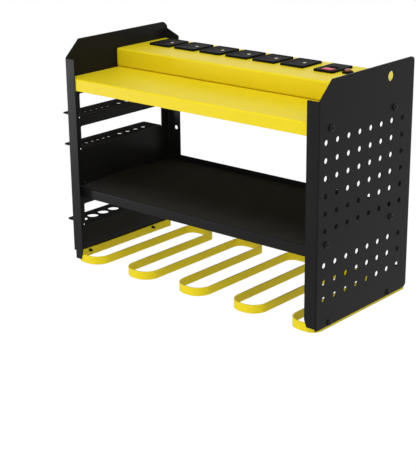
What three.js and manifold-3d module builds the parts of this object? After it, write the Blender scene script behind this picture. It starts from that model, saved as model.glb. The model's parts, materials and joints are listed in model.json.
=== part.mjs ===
// Wall mounted organizer for cordless tools: two perforated sheet steel side panels, two folded
// shelves, a rack bent from one flat strip that tools hang in, and a power strip on the top shelf.
// Millimetres. +X is to the right of somebody who faces the wall, +Y points into the wall, +Z is up.
// The origin lies on the wall plane, midway between the side panels, level with their lower edge.
import * as THREE from "three";
import { mergeVertices } from "three/addons/utils/BufferGeometryUtils.js";
import Module from "manifold-3d";

// Driving dimensions.
const WIDTH = 440; // over both side panels
const DEPTH = 210; // from the wall to the front of the side panels
const HEIGHT = 320; // of the side panels
const SHEET = 1.5; // thickness of all folded sheet steel
const BEND = 1; // inner radius of a fold
const GAP = 0.3; // between parts that touch
const PAST = 1; // how far a cutter runs past what it cuts
const HALF = WIDTH / 2;
const INSIDE = HALF - SHEET; // inner face of a side panel
const FITTED = INSIDE - GAP; // half the width of whatever sits between the panels
const FRONT = -DEPTH;
const BEHIND_FLANGE = FRONT + SHEET + GAP; // front face of what lies behind a panel's front flange
const AT_WALL = -SHEET - GAP; // rear face of what lies before a panel's rear flange

// Side panels.
const FRONT_FLANGE = 18;
const REAR_FLANGE = 25.5;
const SLOPE_RUN = 27; // of the cut across the upper front corner
const SLOPE_RISE = 25;
const REAR_CORNER = 10; // radius of the upper and lower rear corners
const FLANGE_DROP = 10; // by which the ends of the rear flange slope towards its free edge
const RIGHT_FLANGE_FOOT = 3; // height at which the right panel's front flange begins
const FOOT_CUT_WIDTH = 3; // of the cut corner at the foot of a front flange
const FOOT_CUT_HEIGHT = 6;
const RELIEF_WIDTH = 5; // of the notch that frees the fold at the foot of the left panel
const RELIEF_HEIGHT = 12;
const WALL_HOLE_RADIUS = 3.25;
const WALL_HOLE_INSET = 17.7; // from a panel's outer face
const WALL_HOLE_END = 30; // from a panel's upper and lower edges
const WALL_HOLE_MIDDLE = HEIGHT / 2 - 2 * PAST;
const CORD_HOLE_RADIUS = 6.5; // right panel only
const CORD_HOLE_Y = -56;
const CORD_HOLE_DROP = 18; // below the panel's upper edge

// Perforation of the right panel: a grid that one row is left out of.
const GRID_RADIUS = 3.75;
const GRID_PITCH_Y = 23.9;
const GRID_PITCH_Z = 22.64;
const GRID_COLUMNS = 8;
const GRID_ROWS = 10;
const GRID_LEFT_OUT = 6; // the row that would meet the middle shelf, counted from the top
const GRID_INSET = 16.5; // from the panel's front to the first column
const GRID_DROP = 77; // from the panel's upper edge to the first row

// Shelves. A height is that of the tread.
const TOP_SHELF_DROP = 51.5; // below the panels' upper edge
const TOP_SHELF = HEIGHT - TOP_SHELF_DROP;
const TOP_LIP = 17; // down, on all four sides
const MID_SHELF = 107;
const MID_SETBACK = 12; // behind the panels' front
const MID_FRONT = FRONT + MID_SETBACK;
const MID_FRONT_LIP = 15; // down
const MID_REAR_LIP = 9; // up, at the wall and on both sides
const CORNER_RELIEF = 3; // square notch where two lips meet

// Windows of the left panel. The sheet of each is folded outward on its lower edge, as a tray.
const WINDOW_INSET = 24; // from the panel's front
const WINDOW_FRONT = FRONT + WINDOW_INSET;
const WINDOW_REAR = -16;
const WINDOW_CORNER = 2;
const UPPER_FLOOR_DROP = 60; // below the top shelf
const MIDDLE_FLOOR_DROP = 106.5;
const UPPER_FLOOR = TOP_SHELF - UPPER_FLOOR_DROP;
const MIDDLE_FLOOR = TOP_SHELF - MIDDLE_FLOOR_DROP;
const LOWER_FLOOR = 47;
const UPPER_WINDOW = 33; // height of the window over its tray
const MIDDLE_WINDOW = 31.5;
const LOWER_WINDOW = 30;
const TRAY_REACH = 37; // beyond the panel's outer face
const TRAY_CORNER = 4;
const TRAY_ROOT = 6; // of the fold below the tray's upper face
const RELIEF_RADIUS = 1.5; // at the front end of the fold
const SLIT_WIDTH = 1; // at the rear end of the fold
const BIT_REACH = 15; // from the panel's outer face to the holes
const BIT_RADIUS = 3.5;
const BIT_INSET = 13.5; // from the tray's front to the first hole
const BIT_PITCH = 11.4;
const WIDE_BIT_RADIUS = 4.5;
const WIDE_BIT_INSET = 94;
const WIDE_BIT_PITCH = 17;
const DRIVER_REACH = 17;
const DRIVER_RADIUS = 8.5;
const DRIVER_INSET = 11.5;
const DRIVER_PITCH = 21.8;
const BIT_HOLES = [
  { radius: BIT_RADIUS, count: 6, inset: BIT_INSET, pitch: BIT_PITCH },
  { radius: WIDE_BIT_RADIUS, count: 4, inset: WIDE_BIT_INSET, pitch: WIDE_BIT_PITCH },
];
const DRIVER_HOLES = [{ radius: DRIVER_RADIUS, count: 7, inset: DRIVER_INSET, pitch: DRIVER_PITCH }];
const WINDOWS = [
  { floor: UPPER_FLOOR, top: UPPER_FLOOR + UPPER_WINDOW, holeReach: BIT_REACH, rows: BIT_HOLES },
  { floor: MIDDLE_FLOOR, top: MIDDLE_FLOOR + MIDDLE_WINDOW, holeReach: BIT_REACH, rows: BIT_HOLES },
  { floor: LOWER_FLOOR, top: LOWER_FLOOR + LOWER_WINDOW, holeReach: DRIVER_REACH, rows: DRIVER_HOLES },
];

// Tool rack: one strip on edge, bent to and fro. Fingers close at the front, slots at the rear.
const RACK_DROP = 4.5; // of the strip's lower edge below the panels
const STRIP_HEIGHT = 12;
const STRIP = 2; // thickness
const FINGER_WIDTH = 50;
const SLOT_WIDTH = 48;
const SLOTS = 4;
const FINGER_BEND = 20; // inner radius at a finger's tip
const SLOT_BEND = 13; // at the rear, and beside the panels
const RACK_REAR = -3;

// Screws: pan heads with a cross recess.
const M5_SHANK = 2.5;
const M5_HEAD = 4.5;
const M5_HEAD_HEIGHT = 3;
const M5_LENGTH = 11;
const M5_HOLE = 2.8;
const M5_CROSS = 2.6;
const M4_SHANK = 2;
const M4_HEAD = 3.75;
const M4_HEAD_HEIGHT = 2.5;
const M4_LENGTH = 7;
const M4_SIDE_LENGTH = 9;
const M4_HOLE = 2.3;
const M4_CROSS = 2.1;
const M5 = {
  shank: M5_SHANK,
  head: M5_HEAD,
  headHeight: M5_HEAD_HEIGHT,
  length: M5_LENGTH,
  hole: M5_HOLE,
  cross: M5_CROSS,
};
const M4 = {
  shank: M4_SHANK,
  head: M4_HEAD,
  headHeight: M4_HEAD_HEIGHT,
  length: M4_LENGTH,
  hole: M4_HOLE,
  cross: M4_CROSS,
};
const CROSS_WIDTH = 1;
const CROSS_DEPTH = 1.5;
const SCREW_REAR = -45.5; // all the rear screws of the side panels
const TOP_SCREW_INSET = 25.5; // from the panels' front
const TOP_SCREW_DROP = 8.5; // below the tread
const MID_SCREW_INSET = 8; // from the shelf's front
const MID_SCREW_DROP = 4.5; // below the upper edge of the shelf's lips
const RACK_SCREW_INSET = 29;
const RACK_SCREW_HEIGHT = 4;
const SIDE_SCREWS = [
  { level: "top", size: M5, z: TOP_SHELF - TOP_SCREW_DROP, front: FRONT + TOP_SCREW_INSET },
  {
    level: "mid",
    size: M5,
    z: MID_SHELF + MID_REAR_LIP - MID_SCREW_DROP,
    front: MID_FRONT + MID_SCREW_INSET,
  },
  {
    level: "rack",
    size: { ...M4, length: M4_SIDE_LENGTH },
    z: RACK_SCREW_HEIGHT,
    front: FRONT + RACK_SCREW_INSET,
  },
];

// Power strip housing: an inverted channel with folded feet.
const HOUSING_FRONT = -108;
const HOUSING_REAR = -3;
const HOUSING_HEIGHT = 27; // over the tread of the top shelf
const HOUSING_FOOT = TOP_SHELF + GAP;
const HOUSING_TOP = TOP_SHELF + HOUSING_HEIGHT;
const HOUSING_HALF = FITTED - GAP;
const HOUSING_FLANGE = 14;
const HOUSING_SCREW_X = 150;
const HOUSING_SCREW_INSET = 7.5; // from the housing's front and rear faces

// Outlets, in a row along the housing.
const OUTLETS = 6;
const OUTLET_FIRST = 62.9;
const OUTLET_PITCH = 48.5;
const OUTLET_LAST = OUTLET_FIRST - (OUTLETS - 1) * OUTLET_PITCH;
const OUTLET_Y = -39;
const OUTLET_WIDTH = 39;
const OUTLET_DEPTH = 44;
const BEZEL_HEIGHT = 3;
const BEZEL_EDGE = 1; // bevel round a bezel's upper edge
const BEZEL_CORNER = 4.5;
const BEZEL_LAP = 2.3; // a bezel's overlap on the housing, all round
const BODY_DROP = 18.5; // of the outlets' and the switch's underside below the housing's top
const BODY_FOOT = HOUSING_TOP - BODY_DROP;
const BLADE_SPREAD = 6.35; // of a plug's two blades from the outlet's centre line
const BLADE_SLOT = 1.8;
const LIVE_SLOT = 7;
const NEUTRAL_SLOT = 8.6;
const BLADE_SHIFT = -4.5; // of the blade slots along the row
const EARTH_TO_BLADES = 11.9; // from the blade slots to the earth hole, along the row
const EARTH_SHIFT = BLADE_SHIFT + EARTH_TO_BLADES;
const EARTH_RADIUS = 2.6;

// Contact rails: channels whose walls stay only where a plug's pins go in.
const RAIL_FOOT = BODY_FOOT + GAP;
const RAIL_DROP = 4.5; // of a rail's upper edge below the housing's top
const RAIL_TOP = HOUSING_TOP - RAIL_DROP;
const RAIL_SHEET = 0.8;
const RAIL_PAST_LAST = 20.8; // beyond the centre of the last outlet
const RAIL_PAST_FIRST = 26.7; // beyond the centre of the first one
const RAIL_LEFT = OUTLET_LAST - RAIL_PAST_LAST;
const RAIL_RIGHT = OUTLET_FIRST + RAIL_PAST_FIRST;
const BLADE_RAIL = 3; // outer width
const EARTH_RAIL = 5.6;
const FORK_LENGTH = 12;
const FORK_FLARE = 0.25; // outward step of the fork's mouth on each side
const FLARE_HEIGHT = 2;
const GROOVE_DROP = 3;
const GROOVE_TOP = HOUSING_TOP - GROOVE_DROP;
const GROOVE_PLAY = 0.4; // round a fork, beyond its flare

// Insulating channel under the rails.
const TRAY_DROP = 3.4; // of its underside below the outlets
const TRAY_FOOT = BODY_FOOT - TRAY_DROP;
const TRAY_FLOOR = 2; // thickness
const TRAY_HALF = 12.5; // half its width
const TRAY_PAST = 2; // beyond the rails at the left, and short of them at the right
const TRAY_LEFT = RAIL_LEFT - TRAY_PAST;
const TRAY_RIGHT = RAIL_RIGHT - TRAY_PAST;
const TRAY_RIM = 1;

// Rocker switch. The rocker lies in the front right part of its bezel.
const SWITCH_X = 117.8;
const SWITCH_Y = OUTLET_Y;
const SWITCH_WIDTH = 32;
const SWITCH_DEPTH = OUTLET_DEPTH;
const ROCKER_SHIFT_X = 4; // from the bezel's middle
const ROCKER_SHIFT_Y = -10.5;
const ROCKER_X = SWITCH_X + ROCKER_SHIFT_X;
const ROCKER_Y = SWITCH_Y + ROCKER_SHIFT_Y;
const ROCKER_WIDTH = 15;
const ROCKER_HALF = 7; // half its length, along Y
const ROCKER_RISE = 1.8; // of its ends over its waist
const ROCKER_WAIST = 2.8; // height of its waist over the axle
const ROCKER_ROUND = 5.5; // radius of its underside
const ROCKER_TILT = -9; // degrees about X, with its front end up; the other way when it is pressed
const AXLE_RISE = 0.5; // over the housing's top
const AXLE_Z = HOUSING_TOP + AXLE_RISE;
const AXLE_RADIUS = 1.3;
const AXLE_LENGTH = 1.2;
const WELL_PLAY = 0.4;
const WELL_DEPTH = 8.5; // below the housing's top
const WELL_FLOOR = HOUSING_TOP - WELL_DEPTH;

// Resettable breaker.
const BREAKER_X = 148.3;
const BREAKER_Y = -49;
const BREAKER_WIDTH = 15;
const BREAKER_DEPTH = 26;
const BREAKER_HEIGHT = 14.5; // from its underside to the housing's top
const BREAKER_FOOT = HOUSING_TOP - BREAKER_HEIGHT;
const NECK_RADIUS = 5.8;
const NECK_RISE = 3.1; // over the housing's top
const NECK_TOP = HOUSING_TOP + NECK_RISE;
const BUTTON_RADIUS = 4;
const BUTTON_RISE = 5.9;
const BUTTON_TOP = HOUSING_TOP + BUTTON_RISE;
const BUTTON_COLLAR = 4.9;
const COLLAR_HEIGHT = 1.5;
const BUTTON_DEPTH = 5.6; // of its underside below the housing's top
const BUTTON_FOOT = HOUSING_TOP - BUTTON_DEPTH;
const BUTTON_STROKE = 2.5;
const BUTTON_PLAY = 0.3;
const RING_RADIUS = 7.8;
const RING_HEIGHT = 2.2;
const RING_NOTCHES = 8;

// Terminals and the two short wires between them.
const TAB_WIDTH = 6.3;
const TAB_SHEET = 0.8;
const TAB_DROP = 6.5; // below the underside of the switch
const TAB_FOOT = BODY_FOOT - TAB_DROP;
const TAB_SEAT = 4; // how far a tab goes into what carries it
const TAB_SPREAD = 7; // from the middle of the rocker or breaker, along Y
const WIRE_RADIUS = 1.3;
const WIRE_RISE = 3; // over the tabs' lower end
const WIRE_Z = TAB_FOOT + WIRE_RISE;
const WIRE_STUB = 6; // straight run at each end of a wire

// Gland for the supply lead, through the left panel and the housing's end wall.
const GLAND_Y = -74;
const GLAND_DROP = 13.5; // below the housing's top
const GLAND_Z = HOUSING_TOP - GLAND_DROP;
const GLAND_RADIUS = 7;
const GLAND_BORE = 4;
const GLAND_FLANGE = 10;
const GLAND_FLANGE_WIDTH = 3;
const GLAND_REACH = 14; // from the panel's outer face inward
const GLAND_NUT = 9.5; // over its corners
const GLAND_NUT_WIDTH = 5;

// Facets.
const ROUND = 16; // sides of a ring, gland or button
const SCREW_ROUND = 10; // sides of a screw
const HOLE = 4; // half the sides of a small round hole
const WIDE_HOLE = 6; // half the sides of a wide one
const FOLD_STEPS = 2; // half the facets of a fold
const RACK_STEPS = 4; // half the facets of a bend in the rack
const CORNER_STEPS = 6; // half the facets of a panel's rounded corner
const WIRE_STEPS = 8;

const wasm = await Module();
wasm.setup();

// One closed body, for joining and cutting, from a three.js geometry.
function solid(geometry) {
  geometry.deleteAttribute("normal");
  geometry.deleteAttribute("uv");
  const merged = mergeVertices(geometry, 1e-4);
  return new wasm.Manifold(
    new wasm.Mesh({
      numProp: 3,
      vertProperties: new Float32Array(merged.attributes.position.array),
      triVerts: new Uint32Array(merged.index.array),
    }),
  );
}

const join = (...bodies) => wasm.Manifold.union(bodies);
const cut = (body, ...cutters) => wasm.Manifold.difference([body, ...cutters]);

// A three.js geometry of a joined or cut body.
function geometryOf(body) {
  const mesh = body.getMesh();
  const geometry = new THREE.BufferGeometry();
  const points = new THREE.BufferAttribute(new Float32Array(mesh.vertProperties), mesh.numProp);
  geometry.setAttribute("position", points);
  geometry.setIndex(new THREE.BufferAttribute(new Uint32Array(mesh.triVerts), 1));
  const facets = geometry.toNonIndexed();
  facets.computeVertexNormals();
  return facets;
}

// A closed outline from corners [x, y, radius]; a corner with no radius stays sharp.
function outline(corners) {
  const shape = new THREE.Shape();
  const count = corners.length;
  const at = (i) => new THREE.Vector2(...corners[(i + count) % count].slice(0, 2));
  corners.forEach(([x, y, radius = 0], i) => {
    const corner = at(i);
    const back = at(i - 1).sub(corner).normalize();
    const ahead = at(i + 1).sub(corner).normalize();
    const half = Math.acos(THREE.MathUtils.clamp(back.dot(ahead), -1, 1)) / 2;
    const start = corner.clone().addScaledVector(back, radius / Math.tan(half));
    if (i) shape.lineTo(start.x, start.y);
    else shape.moveTo(start.x, start.y);
    if (!radius) return;
    const centre = corner.clone();
    centre.addScaledVector(back.clone().add(ahead).normalize(), radius / Math.sin(half));
    const end = corner.clone().addScaledVector(ahead, radius / Math.tan(half));
    const from = start.sub(centre).angle();
    const to = end.sub(centre).angle();
    shape.absarc(centre.x, centre.y, radius, from, to, back.cross(ahead) > 0);
  });
  shape.closePath();
  return shape;
}

// Section of a folded strip. The corners [x, y, bend] run along one face, the material lies to the
// left of the way they go, and bend is the radius on the hollow side of the fold.
function foldedStrip(face, thickness, bend = BEND) {
  const last = face.length - 1;
  const point = (i) => new THREE.Vector2(face[i][0], face[i][1]);
  const along = (i) => point(i + 1).sub(point(i)).normalize();
  const near = [];
  const far = [];
  face.forEach(([x, y, own = bend], i) => {
    const before = along(Math.max(i - 1, 0));
    const after = along(Math.min(i, last - 1));
    const leftBefore = new THREE.Vector2(-before.y, before.x);
    const leftAfter = new THREE.Vector2(-after.y, after.x);
    const mitre = leftBefore.clone().add(leftAfter);
    mitre.multiplyScalar(thickness / (1 + leftBefore.dot(leftAfter)));
    const folded = i > 0 && i < last;
    const towards = before.cross(after) > 0;
    near.push([x, y, folded ? own + (towards ? thickness : 0) : 0]);
    far.unshift([x + mitre.x, y + mitre.y, folded ? own + (towards ? 0 : thickness) : 0]);
  });
  return outline([...near, ...far]);
}

const rectangle = (x0, x1, y0, y1, radius = 0) =>
  outline([
    [x0, y0, radius],
    [x1, y0, radius],
    [x1, y1, radius],
    [x0, y1, radius],
  ]);

function disc(x, y, radius) {
  const shape = new THREE.Shape();
  shape.absarc(x, y, radius, 0, 2 * Math.PI);
  return shape;
}

const extruded = (shape, length, steps) =>
  new THREE.ExtrudeGeometry(shape, { depth: length, bevelEnabled: false, curveSegments: steps });

// A shape drawn in (y, z), run along X.
function alongX(shape, x0, x1, steps = FOLD_STEPS) {
  const axes = new THREE.Matrix4().makeBasis(
    new THREE.Vector3(0, 1, 0),
    new THREE.Vector3(0, 0, 1),
    new THREE.Vector3(1, 0, 0),
  );
  return solid(extruded(shape, x1 - x0, steps).applyMatrix4(axes).translate(x0, 0, 0));
}

// A shape drawn in (x, z), run along Y.
const alongY = (shape, y0, y1, steps = FOLD_STEPS) =>
  solid(extruded(shape, y1 - y0, steps).rotateX(Math.PI / 2).translate(0, y1, 0));

// A shape drawn in (x, y), run along Z.
const alongZ = (shape, z0, z1, steps = FOLD_STEPS) =>
  solid(extruded(shape, z1 - z0, steps).translate(0, 0, z0));

const block = (x0, x1, y0, y1, z0, z1) => alongZ(rectangle(x0, x1, y0, y1), z0, z1);

// A body of revolution about Z from a closed profile in (radius, z), listed upwards on the outside.
function turned(profile, sides = ROUND) {
  const points = profile.map(([r, z]) => new THREE.Vector2(r, z));
  return solid(new THREE.LatheGeometry([...points, points[0]], sides).rotateX(Math.PI / 2));
}

// The same body with its axis laid along X, its top pointing to the side given.
function laid(body, side) {
  return body.rotate([0, side * 90, 0]);
}

// Both faces' worth of a panel, as a span along X.
const panelSpan = (side, from, to) => (side > 0 ? [from, to] : [-to, -from]);

function screwHoles(side) {
  return SIDE_SCREWS.flatMap(({ size, z, front }) =>
    [front, SCREW_REAR].map((y) =>
      alongX(disc(y, z, size.hole), ...panelSpan(side, FITTED - STRIP - PAST, HALF + PAST), HOLE),
    ),
  );
}

// One side panel without its openings: a channel in plan, with the upper front corner cut off.
function panelBlank(side) {
  const face = [
    [side * (HALF - FRONT_FLANGE), FRONT],
    [side * HALF, FRONT],
    [side * HALF, 0],
    [side * (HALF - REAR_FLANGE), 0],
  ];
  const plan = foldedStrip(side > 0 ? face : face.reverse(), SHEET);
  const across = [-HALF - PAST, HALF + PAST];
  const slope = outline([
    [FRONT - SLOPE_RUN, HEIGHT - 2 * SLOPE_RISE],
    [FRONT + 2 * SLOPE_RUN, HEIGHT + SLOPE_RISE],
    [FRONT - SLOPE_RUN, HEIGHT + SLOPE_RISE],
  ]);
  const free = side * (HALF - FRONT_FLANGE);
  const flangeFoot = side > 0 ? RIGHT_FLANGE_FOOT : 0;
  const footCorner = outline([
    [free, flangeFoot - FOOT_CUT_HEIGHT],
    [free + side * 2 * FOOT_CUT_WIDTH, flangeFoot - FOOT_CUT_HEIGHT],
    [free - side * FOOT_CUT_WIDTH, flangeFoot + 3 * FOOT_CUT_HEIGHT],
  ]);
  const foot =
    side > 0
      ? block(free - PAST, INSIDE, FRONT - PAST, FRONT + SHEET + PAST, -PAST, RIGHT_FLANGE_FOOT)
      : block(-HALF - PAST, RELIEF_WIDTH - HALF, FRONT - PAST, FRONT + RELIEF_WIDTH, -PAST, RELIEF_HEIGHT);
  const wallHoles = [WALL_HOLE_END, WALL_HOLE_MIDDLE, HEIGHT - WALL_HOLE_END].map((z) =>
    alongY(disc(side * (HALF - WALL_HOLE_INSET), z, WALL_HOLE_RADIUS), -SHEET - PAST, PAST, HOLE),
  );
  const ends = [
    [0, 1],
    [HEIGHT, -1],
  ].flatMap(([z, inward]) => rearEnd(side, z, inward));
  return cut(
    alongZ(plan, 0, HEIGHT),
    alongX(slope, ...across),
    foot,
    alongY(footCorner, FRONT - PAST, FRONT + SHEET + PAST),
    ...ends,
    ...wallHoles,
    ...screwHoles(side),
  );
}

// What is cut from a panel's rear corner at height z: the round corner, and the flange's slope.
function rearEnd(side, z, inward) {
  const begin = z + inward * REAR_CORNER;
  const beyond = z - inward * PAST;
  const square = block(
    ...panelSpan(side, HALF - REAR_FLANGE - PAST, HALF + PAST),
    -REAR_CORNER,
    PAST,
    Math.min(beyond, begin),
    Math.max(beyond, begin),
  );
  const corner = disc(-REAR_CORNER, begin, REAR_CORNER);
  const round = alongX(corner, -HALF - 2 * PAST, HALF + 2 * PAST, CORNER_STEPS);
  const fold = side * (INSIDE - BEND);
  const edge = side * (HALF - REAR_FLANGE - PAST);
  const flange = outline([
    [fold, begin],
    [fold, beyond],
    [edge, beyond],
    [edge, begin + inward * FLANGE_DROP],
  ]);
  return [cut(square, round), alongY(flange, -SHEET - PAST / 2, PAST)];
}

function rightPanel() {
  const holes = [];
  for (let row = 0; row < GRID_ROWS; row++) {
    for (let column = 0; column < GRID_COLUMNS && row !== GRID_LEFT_OUT; column++) {
      const y = FRONT + GRID_INSET + column * GRID_PITCH_Y;
      const z = HEIGHT - GRID_DROP - row * GRID_PITCH_Z;
      holes.push(disc(y, z, GRID_RADIUS));
    }
  }
  return cut(
    panelBlank(1),
    ...holes.map((hole) => alongX(hole, INSIDE - PAST, HALF + PAST, HOLE)),
    alongX(
      disc(CORD_HOLE_Y, HEIGHT - CORD_HOLE_DROP, CORD_HOLE_RADIUS),
      INSIDE - PAST,
      HALF + PAST,
      WIDE_HOLE,
    ),
  );
}

// A window's sheet, folded outward on the window's lower edge, with its rows of holes.
function tray({ floor, holeReach, rows }) {
  const section = foldedStrip(
    [
      [-INSIDE, floor - TRAY_ROOT],
      [-INSIDE, floor],
      [-HALF - TRAY_REACH, floor],
    ],
    SHEET,
  );
  const plan = outline([
    [-HALF - TRAY_REACH, WINDOW_FRONT, TRAY_CORNER],
    [-INSIDE + PAST, WINDOW_FRONT],
    [-INSIDE + PAST, WINDOW_REAR],
    [-HALF - TRAY_REACH, WINDOW_REAR, TRAY_CORNER],
  ]);
  const trimmed = wasm.Manifold.intersection(
    alongY(section, WINDOW_FRONT, WINDOW_REAR),
    alongZ(plan, floor - TRAY_ROOT, floor + PAST),
  );
  const holes = rows.flatMap(({ radius, count, inset, pitch }) =>
    Array.from({ length: count }, (_, i) =>
      alongZ(
        disc(-HALF - holeReach, WINDOW_FRONT + inset + i * pitch, radius),
        floor - SHEET - PAST,
        floor + PAST,
        radius === DRIVER_RADIUS ? WIDE_HOLE : HOLE,
      ),
    ),
  );
  return cut(trimmed, ...holes);
}

function leftPanel() {
  const span = panelSpan(-1, INSIDE - PAST, HALF + PAST);
  const windows = WINDOWS.flatMap(({ floor, top }) => {
    const fold = floor - SHEET - BEND; // where the tray's bend begins
    const slit = rectangle(WINDOW_REAR, WINDOW_REAR + SLIT_WIDTH, floor - TRAY_ROOT / 2, floor);
    return [
      alongX(rectangle(WINDOW_FRONT, WINDOW_REAR, fold, top, WINDOW_CORNER), ...span),
      alongX(rectangle(WINDOW_FRONT, WINDOW_REAR, fold, floor), ...span),
      alongX(disc(WINDOW_FRONT - RELIEF_RADIUS, floor - SHEET, RELIEF_RADIUS), ...span, HOLE),
      alongX(slit, ...span),
    ];
  });
  const gland = alongX(disc(GLAND_Y, GLAND_Z, GLAND_RADIUS + GAP), ...span, WIDE_HOLE);
  return join(cut(panelBlank(-1), ...windows, gland), ...WINDOWS.map(tray));
}

// A shelf: its section from front to rear, joined to its section from side to side.
function shelf(lips, flanges, front, z0, z1) {
  const screws = [...screwHoles(1), ...screwHoles(-1)];
  const body = join(
    alongX(foldedStrip(lips, SHEET), -FITTED + CORNER_RELIEF, FITTED - CORNER_RELIEF),
    alongY(foldedStrip(flanges, SHEET), front + CORNER_RELIEF, AT_WALL - CORNER_RELIEF),
  );
  const box = [-HALF, HALF, FRONT, 0, z0, z1];
  return cut(body, ...screws.filter((hole) => !hole.intersect(block(...box)).isEmpty()));
}

function topShelf() {
  const foot = TOP_SHELF - TOP_LIP;
  const lips = [
    [AT_WALL, foot],
    [AT_WALL, TOP_SHELF],
    [BEHIND_FLANGE, TOP_SHELF],
    [BEHIND_FLANGE, foot],
  ];
  const flanges = [
    [FITTED, foot],
    [FITTED, TOP_SHELF],
    [-FITTED, TOP_SHELF],
    [-FITTED, foot],
  ];
  const holes = housingScrewPlaces().map(([x, y]) =>
    alongZ(disc(x, y, M4.hole), TOP_SHELF - SHEET - PAST, TOP_SHELF + PAST, HOLE),
  );
  return cut(shelf(lips, flanges, BEHIND_FLANGE, foot, TOP_SHELF), ...holes);
}

function midShelf() {
  const under = MID_SHELF - SHEET;
  const rim = MID_SHELF + MID_REAR_LIP;
  const lips = [
    [AT_WALL - SHEET, rim],
    [AT_WALL - SHEET, MID_SHELF],
    [MID_FRONT, MID_SHELF],
    [MID_FRONT, MID_SHELF - MID_FRONT_LIP],
  ];
  const flanges = [
    [-FITTED, rim],
    [-FITTED, under],
    [FITTED, under],
    [FITTED, rim],
  ];
  return shelf(lips, flanges, MID_FRONT, under, rim);
}

// The rack's strip in plan: it goes to the front along each finger and back to the wall between two.
function toolRack() {
  const pitch = FINGER_WIDTH + SLOT_WIDTH;
  const slotFloor = RACK_REAR - STRIP;
  const face = [
    [-FITTED, RACK_REAR],
    [-FITTED, BEHIND_FLANGE],
  ];
  for (let slot = 0; slot < SLOTS; slot++) {
    const middle = (slot - (SLOTS - 1) / 2) * pitch;
    const left = middle - SLOT_WIDTH / 2;
    const right = middle + SLOT_WIDTH / 2;
    face.push([left, BEHIND_FLANGE, FINGER_BEND], [left, slotFloor]);
    face.push([right, slotFloor], [right, BEHIND_FLANGE, FINGER_BEND]);
  }
  face.push([FITTED, BEHIND_FLANGE], [FITTED, RACK_REAR]);
  const plan = foldedStrip(face, STRIP, SLOT_BEND);
  const strip = alongZ(plan, -RACK_DROP, STRIP_HEIGHT - RACK_DROP, RACK_STEPS);
  return cut(strip, ...screwHoles(1), ...screwHoles(-1));
}

const outletCentres = () => Array.from({ length: OUTLETS }, (_, i) => OUTLET_FIRST - i * OUTLET_PITCH);

function housingScrewPlaces() {
  const rows = [HOUSING_FRONT + HOUSING_SCREW_INSET, HOUSING_REAR - HOUSING_SCREW_INSET];
  return rows.flatMap((y) => [-HOUSING_SCREW_X, HOUSING_SCREW_X].map((x) => [x, y]));
}

// Plan of the hole under a bezel of this size.
function underBezel(x, y, width, depth) {
  const w = width / 2 - BEZEL_LAP + GAP;
  const d = depth / 2 - BEZEL_LAP + GAP;
  return rectangle(x - w, x + w, y - d, y + d);
}

function powerHousing() {
  const section = foldedStrip(
    [
      [HOUSING_REAR - HOUSING_FLANGE, HOUSING_FOOT],
      [HOUSING_REAR, HOUSING_FOOT],
      [HOUSING_REAR, HOUSING_TOP],
      [HOUSING_FRONT, HOUSING_TOP],
      [HOUSING_FRONT, HOUSING_FOOT],
      [HOUSING_FRONT + HOUSING_FLANGE, HOUSING_FOOT],
    ],
    SHEET,
  );
  const within = [HOUSING_FRONT + SHEET / 2, HOUSING_REAR - SHEET / 2];
  const ends = [-1, 1].map((side) =>
    block(
      ...panelSpan(side, HOUSING_HALF - SHEET, HOUSING_HALF),
      ...within,
      HOUSING_FOOT,
      HOUSING_TOP - SHEET / 2,
    ),
  );
  const deck = [HOUSING_TOP - SHEET - PAST, HOUSING_TOP + PAST];
  const deckHoles = [
    ...outletCentres().map((x) => underBezel(x, OUTLET_Y, OUTLET_WIDTH, OUTLET_DEPTH)),
    underBezel(SWITCH_X, SWITCH_Y, SWITCH_WIDTH, SWITCH_DEPTH),
    disc(BREAKER_X, BREAKER_Y, NECK_RADIUS + GAP),
  ];
  const screws = housingScrewPlaces().map(([x, y]) =>
    alongZ(disc(x, y, M4.hole), HOUSING_FOOT - PAST, HOUSING_FOOT + SHEET + PAST, HOLE),
  );
  const gland = disc(GLAND_Y, GLAND_Z, GLAND_RADIUS + GAP);
  return cut(
    join(alongX(section, -HOUSING_HALF, HOUSING_HALF), ...ends),
    ...deckHoles.map((shape) => alongZ(shape, ...deck, WIDE_HOLE)),
    ...screws,
    alongX(gland, -HOUSING_HALF - PAST, -HOUSING_HALF + SHEET + PAST, WIDE_HOLE),
  );
}

// A moulded insert: a bevelled bezel on the housing and a body that goes down through the deck.
function insert(x, y, width, depth) {
  const inner = [width / 2 - BEZEL_EDGE, depth / 2 - BEZEL_EDGE];
  const plan = outline([
    [x - inner[0], y - inner[1], BEZEL_CORNER],
    [x + inner[0], y - inner[1], BEZEL_CORNER],
    [x + inner[0], y + inner[1], BEZEL_CORNER],
    [x - inner[0], y + inner[1], BEZEL_CORNER],
  ]);
  const seat = HOUSING_TOP + GAP;
  const bezel = solid(
    new THREE.ExtrudeGeometry(plan, {
      depth: BEZEL_HEIGHT,
      bevelThickness: BEZEL_EDGE,
      bevelSize: BEZEL_EDGE,
      bevelSegments: 1,
      curveSegments: 1,
    }).translate(0, 0, seat - BEZEL_EDGE),
  );
  const w = width / 2 - BEZEL_LAP;
  const d = depth / 2 - BEZEL_LAP;
  const below = block(x - width, x + width, y - depth, y + depth, BODY_FOOT, seat);
  return join(cut(bezel, below), block(x - w, x + w, y - d, y + d, BODY_FOOT, seat + BEZEL_EDGE));
}

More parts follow.
